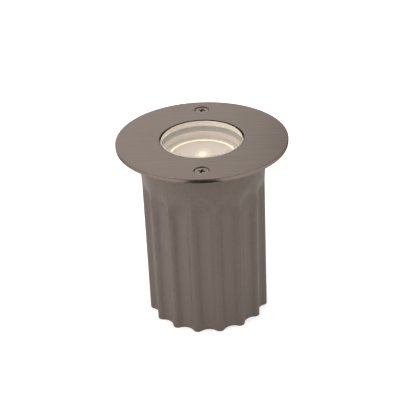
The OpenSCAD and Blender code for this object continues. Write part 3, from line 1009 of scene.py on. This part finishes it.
@dataclass
class Sleeve:
    """The fluted sleeve that stays in the ground."""

    radius: float = 40.0
    rim_z: float = 116.0
    wall: float = 2.0
    flutes: int = 16
    depth: float = 3.6
    crest_r: float = 3.2
    collar: float = 21.0
    end_l: float = 9.0
    blend_r: float = 5.0
    ease: float = 9.0
    columns: int = 26
    foot_rows: tuple[float, ...] = (0.0, 1.2, 20.0, 45.0, 68.0)
    collar_rows: tuple[float, ...] = (99.0, 102.0, 108.0, 115.0)
    end_rows: int = 26
    end_step: float = 0.7
    margin: float = 1.0
    halvings: int = 26
    rim_ease: float = 0.5
    foot_ease: float = 0.35

    @property
    def half_pitch(self) -> float:
        """Angle from a valley to the next crest."""
        return math.pi / self.flutes

    @property
    def crest_at(self) -> float:
        """Distance of a crest arc's centre from the axis."""
        return self.radius - self.crest_r

    @property
    def valley_r(self) -> float:
        """Works out the radius of the valley arcs, which meet the crest arcs in tangents.

        Returns:
            The radius.
        """
        half = math.cos(self.half_pitch)
        floor = self.radius - self.depth
        near = self.crest_at ** 2 + floor ** 2 - 2 * self.crest_at * floor * half - self.crest_r ** 2
        return near / (2 * (self.crest_at * half + self.crest_r - floor))

    @property
    def valley_at(self) -> float:
        """Distance of a valley arc's centre from the axis."""
        return self.radius - self.depth + self.valley_r

    @property
    def flute_top(self) -> float:
        """Height at which the flutes start to run out into the collar."""
        return self.rim_z - self.collar - self.end_l

    def from_valley(self, angle: float) -> float:
        """Measures the angle to the nearest valley. One valley faces the front, along -Y.

        Args:
            angle: Angle round the axis, in radians from +X.

        Returns:
            An angle from 0 to the half pitch.
        """
        pitch = 2 * self.half_pitch
        past = (angle + math.pi / 2) % pitch
        return min(past, pitch - past)

    def straight(self, off: float) -> float:
        """Works out the full flutes' radius.

        Args:
            off: Angle off a valley.

        Returns:
            The radius of the crest arc or the valley arc, whichever is there.
        """
        toward = self.half_pitch - off
        across = self.crest_at * math.sin(toward)
        if across < self.crest_r:
            crest = self.crest_at * math.cos(toward) + math.sqrt(self.crest_r ** 2 - across ** 2)
        else:
            crest = 0.0
        side = self.valley_at * math.sin(off)
        if side >= self.valley_r:
            return crest
        valley = self.valley_at * math.cos(off) - math.sqrt(self.valley_r ** 2 - side ** 2)
        tangent = math.atan2(
            self.crest_r * self.valley_at * math.sin(self.half_pitch),
            self.crest_at * self.valley_r + self.crest_r * self.valley_at * math.cos(self.half_pitch),
        )
        return crest if toward < tangent else valley

    def softened(self, off: float, height: float) -> float:
        """Finds the collar's radius with a flute's round end blended into it, by halving.

        Args:
            off: Angle off a valley.
            height: Height on the sleeve.

        Returns:
            The largest radius that lies inside the blended surface.
        """
        rise = max(0.0, height - self.flute_top) * self.valley_r / self.end_l
        low, high = self.radius - self.depth - self.margin, self.radius + LEVEL
        for _ in range(self.halvings):
            reach = (low + high) / 2
            x = reach * math.cos(off) - self.valley_at
            y = reach * math.sin(off)
            hollow = self.valley_r - math.sqrt(x * x + y * y + rise * rise)
            skin = reach - self.radius
            overlap = max(self.blend_r - abs(hollow - skin), 0.0) / self.blend_r
            if max(hollow, skin) + overlap * overlap * self.blend_r / 4 > 0:
                high = reach
            else:
                low = reach
        return low

    def rounded(self, off: float, height: float) -> float:
        """Works out the radius where a flute runs out, with the crests kept at their full radius.

        Args:
            off: Angle off a valley.
            height: Height on the sleeve.

        Returns:
            The radius.
        """
        dip = self.radius - self.softened(self.half_pitch, height)
        part = off / self.half_pitch
        return self.softened(off, height) + dip * part ** 2

    def reach(self, off: float, height: float) -> float:
        """Works out the sleeve's outer radius.

        Args:
            off: Angle off a valley.
            height: Height on the sleeve.

        Returns:
            The radius: the full flutes low down, and their run-out above.
        """
        part = min(1.0, max(0.0, (height - self.flute_top + self.ease) / self.ease))
        part = part * part * (3 - 2 * part)
        return (1 - part) * self.straight(off) + part * self.rounded(off, height)

    def levels(self) -> list[float]:
        """Heights of the mesh's rows, close together where the flutes end."""
        ends = [self.flute_top - self.ease + self.end_step * step for step in range(self.end_rows)]
        return [*self.foot_rows, *ends, *self.collar_rows, self.rim_z]

    def shell(self) -> BMesh:
        """Makes the whole sleeve: a tube drawn up row by row, fluted, and given its wall.

        Returns:
            The sleeve.
        """
        mesh = bmesh.new()
        bmesh.ops.create_circle(
            mesh, cap_ends=False, radius=self.radius, segments=self.flutes * self.columns
        )
        levels = self.levels()
        rows = [mesh.verts[:]]
        edges = mesh.edges[:]
        for below, above in zip(levels, levels[1:]):
            drawn = bmesh.ops.extrude_edge_only(mesh, edges=edges)["geom"]
            verts = [part for part in drawn if isinstance(part, BMVert)]
            edges = [part for part in drawn if isinstance(part, BMEdge)]
            bmesh.ops.translate(mesh, vec=(0, 0, above - below), verts=verts)
            rows.append(verts)
        for height, verts in zip(levels, rows):
            known: dict[float, float] = {}
            for vert in verts:
                off = self.from_valley(math.atan2(vert.co.y, vert.co.x))
                key = round(off, 5)
                if key not in known:
                    known[key] = self.reach(off, height)
                scale = known[key] / math.hypot(vert.co.x, vert.co.y)
                vert.co.x *= scale
                vert.co.y *= scale
        tidy(mesh)
        bmesh.ops.solidify(mesh, geom=mesh.faces[:], thickness=self.wall)
        bmesh.ops.recalc_face_normals(mesh, faces=mesh.faces)
        return mesh

    def build(self) -> None:
        """Makes and dresses the sleeve."""
        mesh = self.shell()
        outer = self.radius - self.wall / 2
        soften(mesh, self.rim_ease, 2, lambda radius, height: height > self.rim_z - LEVEL and radius > outer)
        soften(mesh, self.foot_ease, 2, lambda radius, height: height < LEVEL)
        Job("sleeve_shell", "sleeve", "sleeve", "sleeve").publish(mesh, SLEEVE_GREY, smooth=40.0)


@dataclass
class ScrewHole:
    """The countersunk holes through the ring and the flange, with an eased lip."""

    at: float = 43.0
    hole_r: float = 2.55
    mouth_r: float = 5.0
    low_z: float = 100.0
    top_z: float = 122.0
    lip: float = 0.08
    flare: float = 0.1
    past: float = 0.02
    over: float = 2.0

    def tool(self, side: Side) -> BMesh:
        """Makes the cutter for one hole.

        Args:
            side: Which screw the hole is for.

        Returns:
            The cutter, in its place.
        """
        cone, wide = self.mouth_r - self.hole_r, self.mouth_r + self.flare
        mesh = turned([
            (0.0, self.low_z), (self.hole_r, self.low_z), (self.hole_r, self.top_z - cone),
            (self.mouth_r - self.lip, self.top_z - self.lip), (wide, self.top_z + self.past),
            (wide, self.top_z + self.over), (0.0, self.top_z + self.over),
        ], Steps.HOLE, closed=False)
        return moved(mesh, y=side.value * self.at)


@dataclass
class Front:
    """The walk-over front: trim ring, its two screws, the stepped glass and the glass's gasket."""

    ring_r: float = 55.0
    opening_r: float = 26.8
    ring_z: float = 119.5
    top_z: float = 122.0
    groove_r: float = 47.8
    groove_w: float = 1.2
    groove_t: float = 0.6
    glass_r: float = 25.9
    flange_r: float = 31.0
    step_z: float = 118.5
    glass_z: float = 113.7
    seat_z: float = 112.7
    gasket_r: float = 32.05
    upper_lip_r: float = 27.4
    lower_lip_r: float = 26.2
    bite: float = 0.03
    screw_r: float = 2.5
    thread_t: float = 0.42
    thread_pitch: float = 0.8
    head_r: float = 4.4
    head_top: float = 121.45
    screw_l: float = 6.0
    recess_l: float = 4.6
    recess_w: float = 1.7
    recess_t: float = 1.5
    recess_deg: float = -18.0
    recess_floor: Point = (0.5, 0.72)
    recess_mouth: Point = (1.33, 1.0)
    tip: float = 0.5
    run_out: float = 0.2
    ring_ease: float = 0.35
    under_ease: float = 0.15
    head_ease: float = 0.14
    glass_ease: float = 0.3
    seal_ease: float = 0.2
    skin: float = 0.05

    def ring(self) -> None:
        """Makes the flat steel ring, with eased edges, the groove under it and the two countersunk holes."""
        groove_end, groove_top = self.groove_r + self.groove_w, self.ring_z + self.groove_t
        mesh = turned([
            (self.opening_r, self.ring_z), (self.groove_r, self.ring_z), (self.groove_r, groove_top),
            (groove_end, groove_top), (groove_end, self.ring_z), (self.ring_r, self.ring_z),
            (self.ring_r, self.top_z), (self.opening_r, self.top_z),
        ], Steps.RING)
        soften(mesh, self.ring_ease, 4, lambda radius, height: height > self.top_z - LEVEL)
        soften(mesh, self.under_ease, 4, lambda radius, height: (
            height < self.ring_z + LEVEL and abs(radius - self.groove_r) > 2 * self.groove_w
        ))
        for side in Side:
            mesh = carved(mesh, ScrewHole().tool(side))
        for face in mesh.faces:
            centre = face.calc_center_median()
            in_hole = math.hypot(centre.x, abs(centre.y) - ScrewHole.at) < ScrewHole.mouth_r
            # Countersink walls take the painted shade.
            if in_hole and centre.z < self.top_z - self.skin:
                face.material_index = Face.HOLE.value
            # Other walls take the cut-edge steel with its painted shade.
            elif abs(face.normal.z) < WALL:
                face.material_index = Face.WORKED.value
        Job("ring_plate", "front", "steel", "trim_ring").publish(
            mesh, RING_STEEL, CUT_EDGE_AND_SHADE, HOLE_WALL_SHADE, smooth=24.0
        )

    def recess(self) -> list[BMesh]:
        """Makes the two wedges that cut a tapered cross recess.

        Returns:
            The wedges, wider at the top.
        """
        wings = []
        for turn in (self.recess_deg, self.recess_deg + 90):
            wing = box(self.recess_l, self.recess_w, self.head_top - self.recess_t, self.head_top + 1)
            for vert in wing.verts:
                along, across = self.recess_floor if vert.co.z < self.head_top else self.recess_mouth
                vert.co.x *= along
                vert.co.y *= across
            wings.append(rotated(wing, about("Z", math.radians(turn))))
        return wings

    def screw(self, side: Side, body: str) -> None:
        """Makes a countersunk screw with a cross recess and a threaded shank.

        Args:
            side: Which screw it is.
            body: The body that it rides on.
        """
        tip_z = self.head_top - self.screw_l
        under = self.head_top - (self.head_r - self.screw_r)
        outline = [(0.0, self.head_top), (self.head_r, self.head_top), (self.screw_r, under)]
        root = self.screw_r - self.thread_t
        outline += threaded(root, self.screw_r, tip_z + self.tip, under - self.run_out, self.thread_pitch)
        outline += [(self.screw_r - self.tip, tip_z), (0.0, tip_z)]
        mesh = turned(outline, Steps.SCREW, closed=False)
        soften(mesh, self.head_ease, 3, lambda radius, height: height > self.head_top - LEVEL)
        for wing in self.recess():
            mesh = carved(mesh, wing)
        # The cross recess's faces take the painted shade.
        low, high = self.head_top - self.recess_t - ROUND, self.head_top - self.skin
        for face in mesh.faces:
            centre = face.calc_center_median()
            if math.hypot(centre.x, centre.y) < self.screw_r and low < centre.z < high:
                face.material_index = Face.WORKED.value
        moved(mesh, y=side.value * ScrewHole.at)
        label = side.name.lower()
        Job(f"ring_screw_{label}", body, "screw_steel", f"trim_screw_{label}").publish(
            mesh, SCREW_STEEL, RECESS_SHADE
        )

    def glass(self) -> None:
        """Makes the stepped glass: polished above and below, ground round its edge and on its step."""
        mesh = turned([
            (0.0, self.glass_z), (self.flange_r, self.glass_z), (self.flange_r, self.step_z),
            (self.glass_r, self.step_z), (self.glass_r, self.top_z), (0.0, self.top_z),
        ], Steps.GLASS, closed=False)
        soften(mesh, self.glass_ease, 3, lambda radius, height: radius > self.glass_r - ROUND)
        for face in mesh.faces:
            on_step = abs(face.calc_center_median().z - self.step_z) < ROUND
            polished = abs(face.normal.z) > FLAT and not on_step
            face.material_index = (Face.MAIN if polished else Face.WORKED).value
        Job("walk_over_glass", "front", "glass", "glass").publish(mesh, CLEAR_GLASS, GROUND_GLASS)

    def gasket(self) -> None:
        """Makes the soft gasket that wraps the glass's flange."""
        inner = self.flange_r - self.bite
        low, high = self.glass_z + self.bite, self.step_z - self.bite
        mesh = turned([
            (self.lower_lip_r, self.seat_z), (self.gasket_r, self.seat_z), (self.gasket_r, self.ring_z),
            (self.upper_lip_r, self.ring_z), (self.upper_lip_r, high), (inner, high), (inner, low),
            (self.lower_lip_r, low),
        ])
        soften(mesh, self.seal_ease, 3, lambda radius, height: not low - LEVEL < height < high + LEVEL)
        Job("glass_seal", "front", "silicone", "glass_gasket").publish(mesh, WHITE_SILICONE)

    def build(self) -> None:
        """Makes and dresses the front's pieces."""
        self.ring()
        self.screw(Side.FRONT, "front_screw")
        self.screw(Side.REAR, "rear_screw")
        self.glass()
        self.gasket()


@dataclass
class Housing:
    """The cast housing with its flange, can, floor and bosses, and the two rings inside it."""

    flange_r: float = 47.5
    flange_z: float = 116.0
    top_z: float = 119.5
    spigot_r: float = 37.7
    spigot_z: float = 106.0
    can_r: float = 33.0
    bore_r: float = 30.5
    recess_r: float = 32.35
    support_z: float = 109.3
    seat_z: float = 112.7
    floor_z: float = 31.0
    base_z: float = 28.0
    gland_hole_r: float = 10.1
    boss_r: float = 3.5
    boss_bore_r: float = 2.05
    boss_z: float = 30.0
    boss_top: float = 34.0
    bosses: tuple[Point, ...] = ((22.5, 0.0), (-22.5, 0.0), (-13.8, 22.74))
    support_bore_r: float = 25.5
    support_r: float = 32.25
    cushion_bore_r: float = 25.3
    cushion_r: float = 30.4
    cushion_h: float = 5.3
    hold: float = 1.3
    base_ease: float = 1.2
    edge_ease: float = 0.4
    boss_ease: float = 0.3
    support_ease: float = 0.3
    cushion_ease: float = 0.5

    def can(self) -> None:
        """Makes the casting itself."""
        mesh = turned([
            (self.gland_hole_r, self.base_z), (self.can_r, self.base_z), (self.can_r, self.spigot_z),
            (self.spigot_r, self.spigot_z), (self.spigot_r, self.flange_z), (self.flange_r, self.flange_z),
            (self.flange_r, self.top_z), (self.recess_r, self.top_z), (self.recess_r, self.support_z),
            (self.bore_r, self.support_z), (self.bore_r, self.floor_z), (self.gland_hole_r, self.floor_z),
        ], hold=self.hold)
        soften(mesh, self.base_ease, 4, lambda radius, height: (
            radius > self.can_r - ROUND and height < self.base_z + LEVEL
        ))
        soften(mesh, self.edge_ease, 3, lambda radius, height: (
            radius > self.recess_r - ROUND and height > self.floor_z
        ))
        for side in Side:
            mesh = carved(mesh, ScrewHole().tool(side))
        posts = []
        for x, y in self.bosses:
            boss = tube(self.boss_bore_r, self.boss_r, self.boss_z, self.boss_top, Steps.BAR)
            soften(boss, self.boss_ease, 3, lambda radius, height: height > self.boss_top - LEVEL)
            posts.append(moved(boss, x, y))
        Job("housing_can", "luminaire", "cast_grey", "housing").publish(joined(mesh, *posts), CAST_METAL)

    def rings(self) -> None:
        """Makes the ring under the glass and the soft ring round the lamp."""
        support = tube(self.support_bore_r, self.support_r, self.support_z, self.seat_z, Steps.LAMP)
        soften(support, self.support_ease)
        Job("support_step", "luminaire", "cast_grey", "support_ring").publish(support, SUPPORT_METAL)
        low = self.support_z - self.cushion_h
        cushion = tube(self.cushion_bore_r, self.cushion_r, low, self.support_z, Steps.LAMP)
        soften(cushion, self.cushion_ease)
        Job("centring_cushion", "luminaire", "silicone", "centring_ring").publish(cushion, PALE_SILICONE)

    def build(self) -> None:
        """Makes and dresses the housing's pieces."""
        self.can()
        self.rings()


@dataclass
class Lamp:
    """The reflector lamp: its body with cooling slots and its lit window."""

    face_z: float = 105.0
    lamp_r: float = 25.0
    rim_z: float = 97.0
    neck_r: float = 13.0
    neck_top: float = 70.0
    neck_z: float = 66.0
    neck_bore_r: float = 10.9
    cone_bore_r: float = 18.0
    cone_bore_z: float = 94.8
    well_r: float = 21.0
    well_z: float = 96.8
    rebate_r: float = 22.05
    rebate_z: float = 102.8
    lens_r: float = 22.0
    lens_t: float = 2.2
    lens_face_r: float = 19.5
    slots: int = 16
    slot_w: float = 3.0
    slot_l: float = 20.0
    slot_depth: float = 0.9
    slot_bar: float = 3.0
    slot_ease: float = 0.6
    rim_ease: float = 0.35
    lens_ease: float = 0.3
    hold: float = 0.5

    def slot_tools(self) -> BMesh:
        """Makes the cutters for the cooling slots: bars that lean with the cone, all the way round it.

        Returns:
            All the cutters in one mesh.
        """
        slope = math.atan2(self.lamp_r - self.neck_r, self.rim_z - self.neck_top)
        lean = about("X", -slope)
        centre = Vector((0.0, (self.lamp_r + self.neck_r) / 2, (self.rim_z + self.neck_top) / 2))
        centre += lean @ Vector((0.0, self.slot_bar / 2 - self.slot_depth, 0.0))
        tools = []
        for index in range(self.slots):
            tool = box(self.slot_w, self.slot_bar, -self.slot_l / 2, self.slot_l / 2)
            soften(tool, self.slot_ease)
            moved(rotated(tool, lean), *centre)
            tools.append(rotated(tool, about("Z", math.tau * index / self.slots)))
        return joined(*tools)

    def shell(self) -> None:
        """Makes the body, with shallow cooling slots sunk in its cone."""
        mesh = turned([
            (self.rebate_r, self.face_z), (self.lamp_r, self.face_z), (self.lamp_r, self.rim_z),
            (self.neck_r, self.neck_top), (self.neck_r, self.neck_z), (self.neck_bore_r, self.neck_z),
            (self.neck_bore_r, self.neck_top), (self.cone_bore_r, self.cone_bore_z),
            (self.cone_bore_r, self.well_z), (self.well_r, self.well_z), (self.well_r, self.rebate_z),
            (self.rebate_r, self.rebate_z),
        ], Steps.LAMP, hold=self.hold)
        soften(mesh, self.rim_ease, 3, lambda radius, height: (
            height > self.face_z - LEVEL
            or (abs(radius - self.lamp_r) < ROUND and abs(height - self.rim_z) < LEVEL)
        ))
        mesh = carved(mesh, self.slot_tools())
        Job("lamp_shell", "lamp", "lamp_white", "lamp_body").publish(mesh, LAMP_WHITE)

    def window(self) -> None:
        """Makes the frosted window, with an eased edge."""
        low = self.face_z - self.lens_t
        mesh = turned([
            (0.0, low), (self.lens_r, low), (self.lens_r, self.face_z), (self.lens_face_r, self.face_z),
            (0.0, self.face_z),
        ], Steps.LAMP, closed=False)
        soften(mesh, self.lens_ease, 3, lambda radius, height: height > self.face_z - LEVEL)
        Job("lamp_window", "lamp", "lens", "lamp_lens").publish(mesh, LAMP_WINDOW)

    def build(self) -> None:
        """Makes and dresses the lamp's outer pieces."""
        self.shell()
        self.window()


@dataclass
class Gland:
    """The cable gland in the housing's floor."""

    across: float = 24.0
    hex_z: float = 22.0
    hex_top: float = 27.0
    hex_ease: float = 0.7
    base_z: float = 28.0
    floor_z: float = 31.0
    hole_r: float = 10.1
    washer_r: float = 12.0
    washer_ease: float = 0.2
    back_nut_h: float = 4.0
    back_nut_ease: float = 0.6
    back_nut_r: float = 10.05
    nut_z: float = 8.93
    nut_top: float = 21.7
    nut_hex_z: float = 10.53
    nut_r: float = 9.6
    nut_bore_z: float = 11.93
    dome: tuple[Point, ...] = ((9.4, 0.0), (10.6, 0.5), (11.6, 1.4), (11.9, 2.4))
    stem_r: float = 9.5
    stem_root_r: float = 8.9
    stem_z: float = 14.0
    stem_thread: Point = (14.4, 21.8)
    core_r: float = 9.0
    waist_r: float = 9.2
    waist_z: Point = (23.0, 26.0)
    thread_r: float = 10.0
    thread_root_r: float = 9.4
    thread_top: float = 36.0
    upper_thread: Point = (27.2, 35.5)
    pitch: float = 1.5
    cable_r: float = 5.2
    seal_r: float = 7.55
    seal_top: float = 18.13
    through: Point = (0.0, 40.0)

    def body(self) -> None:
        """Makes the hexagon with the threaded stems above and below it."""
        hexagonal = hexagon(self.across, self.hex_z, self.hex_top, self.hex_ease)
        hexagonal = carved(hexagonal, post(self.core_r, *self.through))
        lower = threaded(self.stem_root_r, self.stem_r, *self.stem_thread, self.pitch)
        upper = threaded(self.thread_root_r, self.thread_r, *self.upper_thread, self.pitch)
        stem = turned([
            (self.seal_r, self.stem_z), (self.core_r, self.stem_z), *lower[::-1],
            *((self.waist_r, height) for height in self.waist_z), *upper[::-1],
            (self.thread_root_r, self.thread_top), (self.cable_r, self.thread_top),
            (self.cable_r, self.seal_top), (self.seal_r, self.seal_top),
        ], Steps.GLAND)
        Job("gland_hexagon", "luminaire", "black_nylon", "gland_body").publish(
            joined(hexagonal, stem), BLACK_NYLON
        )

    def washer_and_nut(self) -> None:
        """Makes the gasket under the floor and the locknut on it."""
        washer = tube(self.hole_r, self.washer_r, self.hex_top, self.base_z, Steps.GLAND)
        soften(washer, self.washer_ease)
        Job("gland_washer", "luminaire", "black_rubber", "gland_gasket").publish(washer, BLACK_RUBBER)
        nut = hexagon(self.across, self.floor_z, self.floor_z + self.back_nut_h, self.back_nut_ease)
        nut = carved(nut, post(self.back_nut_r, *self.through, Steps.GLAND))
        Job("gland_back_nut", "luminaire", "black_nylon", "gland_locknut").publish(nut, BLACK_NYLON)

    def cap_nut(self) -> None:
        """Makes the nut that squeezes the seal, with a domed end."""
        nut = hexagon(self.across, self.nut_hex_z, self.nut_top, self.hex_ease)
        dome = turned([
            (0.0, self.nut_z), *((radius, self.nut_z + rise) for radius, rise in self.dome),
            (0.0, self.nut_z + self.dome[-1][1]),
        ], Steps.GLAND, closed=False)
        shells = []
        for shell in (nut, dome):
            shell = carved(shell, post(self.nut_r, self.nut_bore_z, self.through[1], Steps.GLAND))
            shells.append(carved(shell, post(self.cable_r, *self.through, Steps.GLAND)))
        Job("gland_cap_nut", "gland_nut", "black_nylon", "gland_nut").publish(joined(*shells), BLACK_NYLON)

    def build(self) -> None:
        """Makes and dresses the gland's pieces."""
        self.body()
        self.washer_and_nut()
        self.cap_nut()


# ---- studio, in metres


def facing(place: Vector, aim: Vector) -> Quaternion:
    """The turn that makes a lamp or a card look from its place at a point."""
    return (aim - place).to_track_quat("-Z", "Y")


@dataclass
class Camera:
    """The photograph's camera, fitted to the ring, the screws and the sleeve's edges."""

    target: Vector = Vector((0.0, 0.0, 0.122))
    distance: float = 0.77
    elevation: float = 26.46
    azimuth: float = 1.21
    roll: float = 2.55
    pan: float = 0.15
    tilt: float = 3.293
    focal_px: float = 1213.0
    sensor_mm: float = 36.0
    clip_m: float = 0.01

    def build(self) -> None:
        """Adds the camera and makes it the scene's."""
        rise, side = math.radians(self.elevation), math.radians(self.azimuth)
        back = Vector((math.cos(rise) * math.sin(side), -math.cos(rise) * math.cos(side), math.sin(rise)))
        right = Vector((math.cos(side), math.sin(side), 0.0))
        axes = Matrix((right, back.cross(right), back))
        for axis, angle in (("Y", self.pan), ("X", self.tilt), ("Z", self.roll)):
            axes = about(axis, math.radians(angle)) @ axes
        data = bpy.data.cameras.new("camera")
        data.sensor_fit = "HORIZONTAL"
        data.sensor_width = self.sensor_mm
        data.lens = self.sensor_mm * self.focal_px / PHOTO_PX
        data.clip_start = self.clip_m
        camera = bpy.data.objects.new("camera", data)
        camera.matrix_world = axes.transposed().to_4x4()
        camera.location = self.target + self.distance * back
        bpy.context.scene.collection.objects.link(camera)
        bpy.context.scene.camera = camera


@dataclass(frozen=True)
class SoftBox:
    """A rectangular lamp, which gloss doesn't show."""

    name: str
    place: Vector
    aim: Vector
    size: Point
    watts: float

    def build(self) -> None:
        """Adds the lamp."""
        data = bpy.data.lights.new(self.name, "AREA")
        data.shape = "RECTANGLE"
        data.size, data.size_y = self.size
        data.energy = self.watts
        light = bpy.data.objects.new(self.name, data)
        light.rotation_euler = facing(self.place, self.aim).to_euler()
        light.location = self.place
        light.visible_glossy = False
        bpy.context.scene.collection.objects.link(light)


@dataclass(frozen=True)
class Card:
    """A dark card that only gloss shows."""

    name: str
    place: Vector
    aim: Vector
    size: Point
    shade: float

    def build(self) -> None:
        """Adds the card."""
        mesh = bmesh.new()
        bmesh.ops.create_grid(mesh, x_segments=1, y_segments=1, size=0.5)
        bmesh.ops.scale(mesh, vec=(*self.size, 1.0), verts=mesh.verts)
        rotated(mesh, facing(self.place, self.aim).to_matrix())
        card = loose(moved(mesh, *self.place), self.name)
        recipe = Recipe(self.name)
        recipe.tree.nodes.remove(recipe.shader)
        glow = recipe.node("ShaderNodeEmission", Color=(self.shade, self.shade, self.shade), Strength=1.0)
        recipe.show(glow.outputs["Emission"])
        card.data.materials.append(recipe.material)
        card.visible_camera = card.visible_diffuse = card.visible_shadow = False
        card.visible_transmission = card.visible_volume_scatter = False


@dataclass
class Studio:
    """A white floor, plain light from the sides, the front and above, and dark cards for the gloss."""

    middle: Vector = Vector((0.0, 0.0, 0.08))
    floor_r: float = 4.0
    floor_z: float = -0.00005
    floor_grey: float = 0.8
    lift_m: Point = (0.08, 0.5)
    lift: Point = (0.5, 1.0)
    fill: float = 0.82
    fill_colour: Colour = (1.0, 0.985, 0.965)
    white: Colour = (1.0, 1.0, 1.0)

    def seen(self, graph: Graph) -> Socket:
        """Tells the rays that see the white background from those that light the object.

        Args:
            graph: The nodes of the floor or the world.

        Returns:
            One for camera, glossy and transmission rays, and zero for the others.
        """
        path = graph.node("ShaderNodeLightPath")
        either = graph.maths("MAXIMUM", path.outputs["Is Camera Ray"], path.outputs["Is Glossy Ray"])
        return graph.maths("MAXIMUM", either, path.outputs["Is Transmission Ray"])

    def world(self) -> None:
        """Adds a white surround that lights the object at a lower level."""
        world = bpy.data.worlds.new("surround")
        bpy.context.scene.world = world
        world.use_nodes = True
        graph = Graph(world.node_tree)
        world.node_tree.nodes.clear()
        mix = graph.node("ShaderNodeMixShader", Fac=self.seen(graph))
        for socket, colour, strength in ((1, self.fill_colour, self.fill), (2, self.white, 1.0)):
            light = graph.node("ShaderNodeBackground", Color=colour, Strength=strength)
            graph.feed(mix.inputs[socket], light.outputs["Background"])
        graph.node("ShaderNodeOutputWorld", Surface=mix.outputs["Shader"])

    def floor(self) -> None:
        """Adds the white floor, which keeps the object's soft shadow and is clear when seen from below."""
        mesh = bmesh.new()
        bmesh.ops.create_circle(mesh, cap_ends=True, radius=self.floor_r, segments=96)
        floor = loose(moved(mesh, z=self.floor_z), "floor")
        recipe = Recipe("white floor")
        recipe.tree.nodes.remove(recipe.shader)
        lift = recipe.span(recipe.radius(), *self.lift_m, *self.lift)
        grey = (self.floor_grey, self.floor_grey, self.floor_grey)
        matt = recipe.node("ShaderNodeBsdfDiffuse", Color=grey)
        shine = recipe.times(lift, self.seen(recipe))
        glow = recipe.node("ShaderNodeEmission", Color=self.white, Strength=shine)
        both = recipe.node("ShaderNodeAddShader")
        recipe.feed(both.inputs[0], matt.outputs["BSDF"])
        recipe.feed(both.inputs[1], glow.outputs["Emission"])
        back = recipe.node("ShaderNodeNewGeometry").outputs["Backfacing"]
        from_below = recipe.times(back, recipe.node("ShaderNodeLightPath").outputs["Is Camera Ray"])
        clear = recipe.node("ShaderNodeBsdfTransparent")
        recipe.show(recipe.merge(from_below, both.outputs["Shader"], clear.outputs["BSDF"]))
        floor.data.materials.append(recipe.material)

    def build(self) -> None:
        """Sets the studio up."""
        self.world()
        self.floor()
        aim = self.middle
        upright = Vector((0.0, 0.0, 0.50))
        for thing in (
            SoftBox("soft box left", Vector((-0.95, -0.45, 0.75)), aim, (0.9, 1.1), 4.1),
            SoftBox("soft box right", Vector((0.95, -0.40, 0.65)), aim, (0.8, 1.1), 0.4),
            SoftBox("soft box front", Vector((-0.15, -1.3, 0.30)), aim, (1.0, 0.5), 1.6),
            SoftBox("soft box above", Vector((0.0, 0.35, 1.2)), aim, (1.0, 0.7), 4.0),
            Card("front card", Vector((0.0, -0.30, 0.002)), Vector((0.0, -0.30, 0.1)), (0.18, 0.30), 0.05),
            Card("overhead card", Vector((0.0, -0.30, 0.75)), aim, (0.7, 0.45), 0.05),
            Card("upright card", Vector((0.0, -0.74, 0.50)), upright, (0.34, 1.0), 0.04),
            Card("right card", Vector((0.25, 0.34, 0.30)), Vector((0.22, 0.0, 0.30)), (0.34, 0.56), 0.2),
        ):
            thing.build()
        bpy.context.scene.view_settings.view_transform = "Standard"


def dress_kept_nodes() -> None:
    """Gives every CAD node that stays its finish."""
    for name, finish in KEPT_NODES.items():
        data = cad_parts[name].data
        data.materials.clear()
        data.materials.append(finish.material())
        LOG.info("%s: kept, finished in %s", name, finish.name)


def main() -> None:
    """Builds the studio and the sub-assemblies in order."""
    logging.basicConfig(level=logging.INFO, format="%(name)s: %(message)s")
    Camera().build()
    Studio().build()
    for part in (Sleeve(), Front(), Housing(), Lamp(), Gland()):
        part.build()
        LOG.info("%s built", type(part).__name__)
    dress_kept_nodes()


if __name__ == "__main__":
    main()
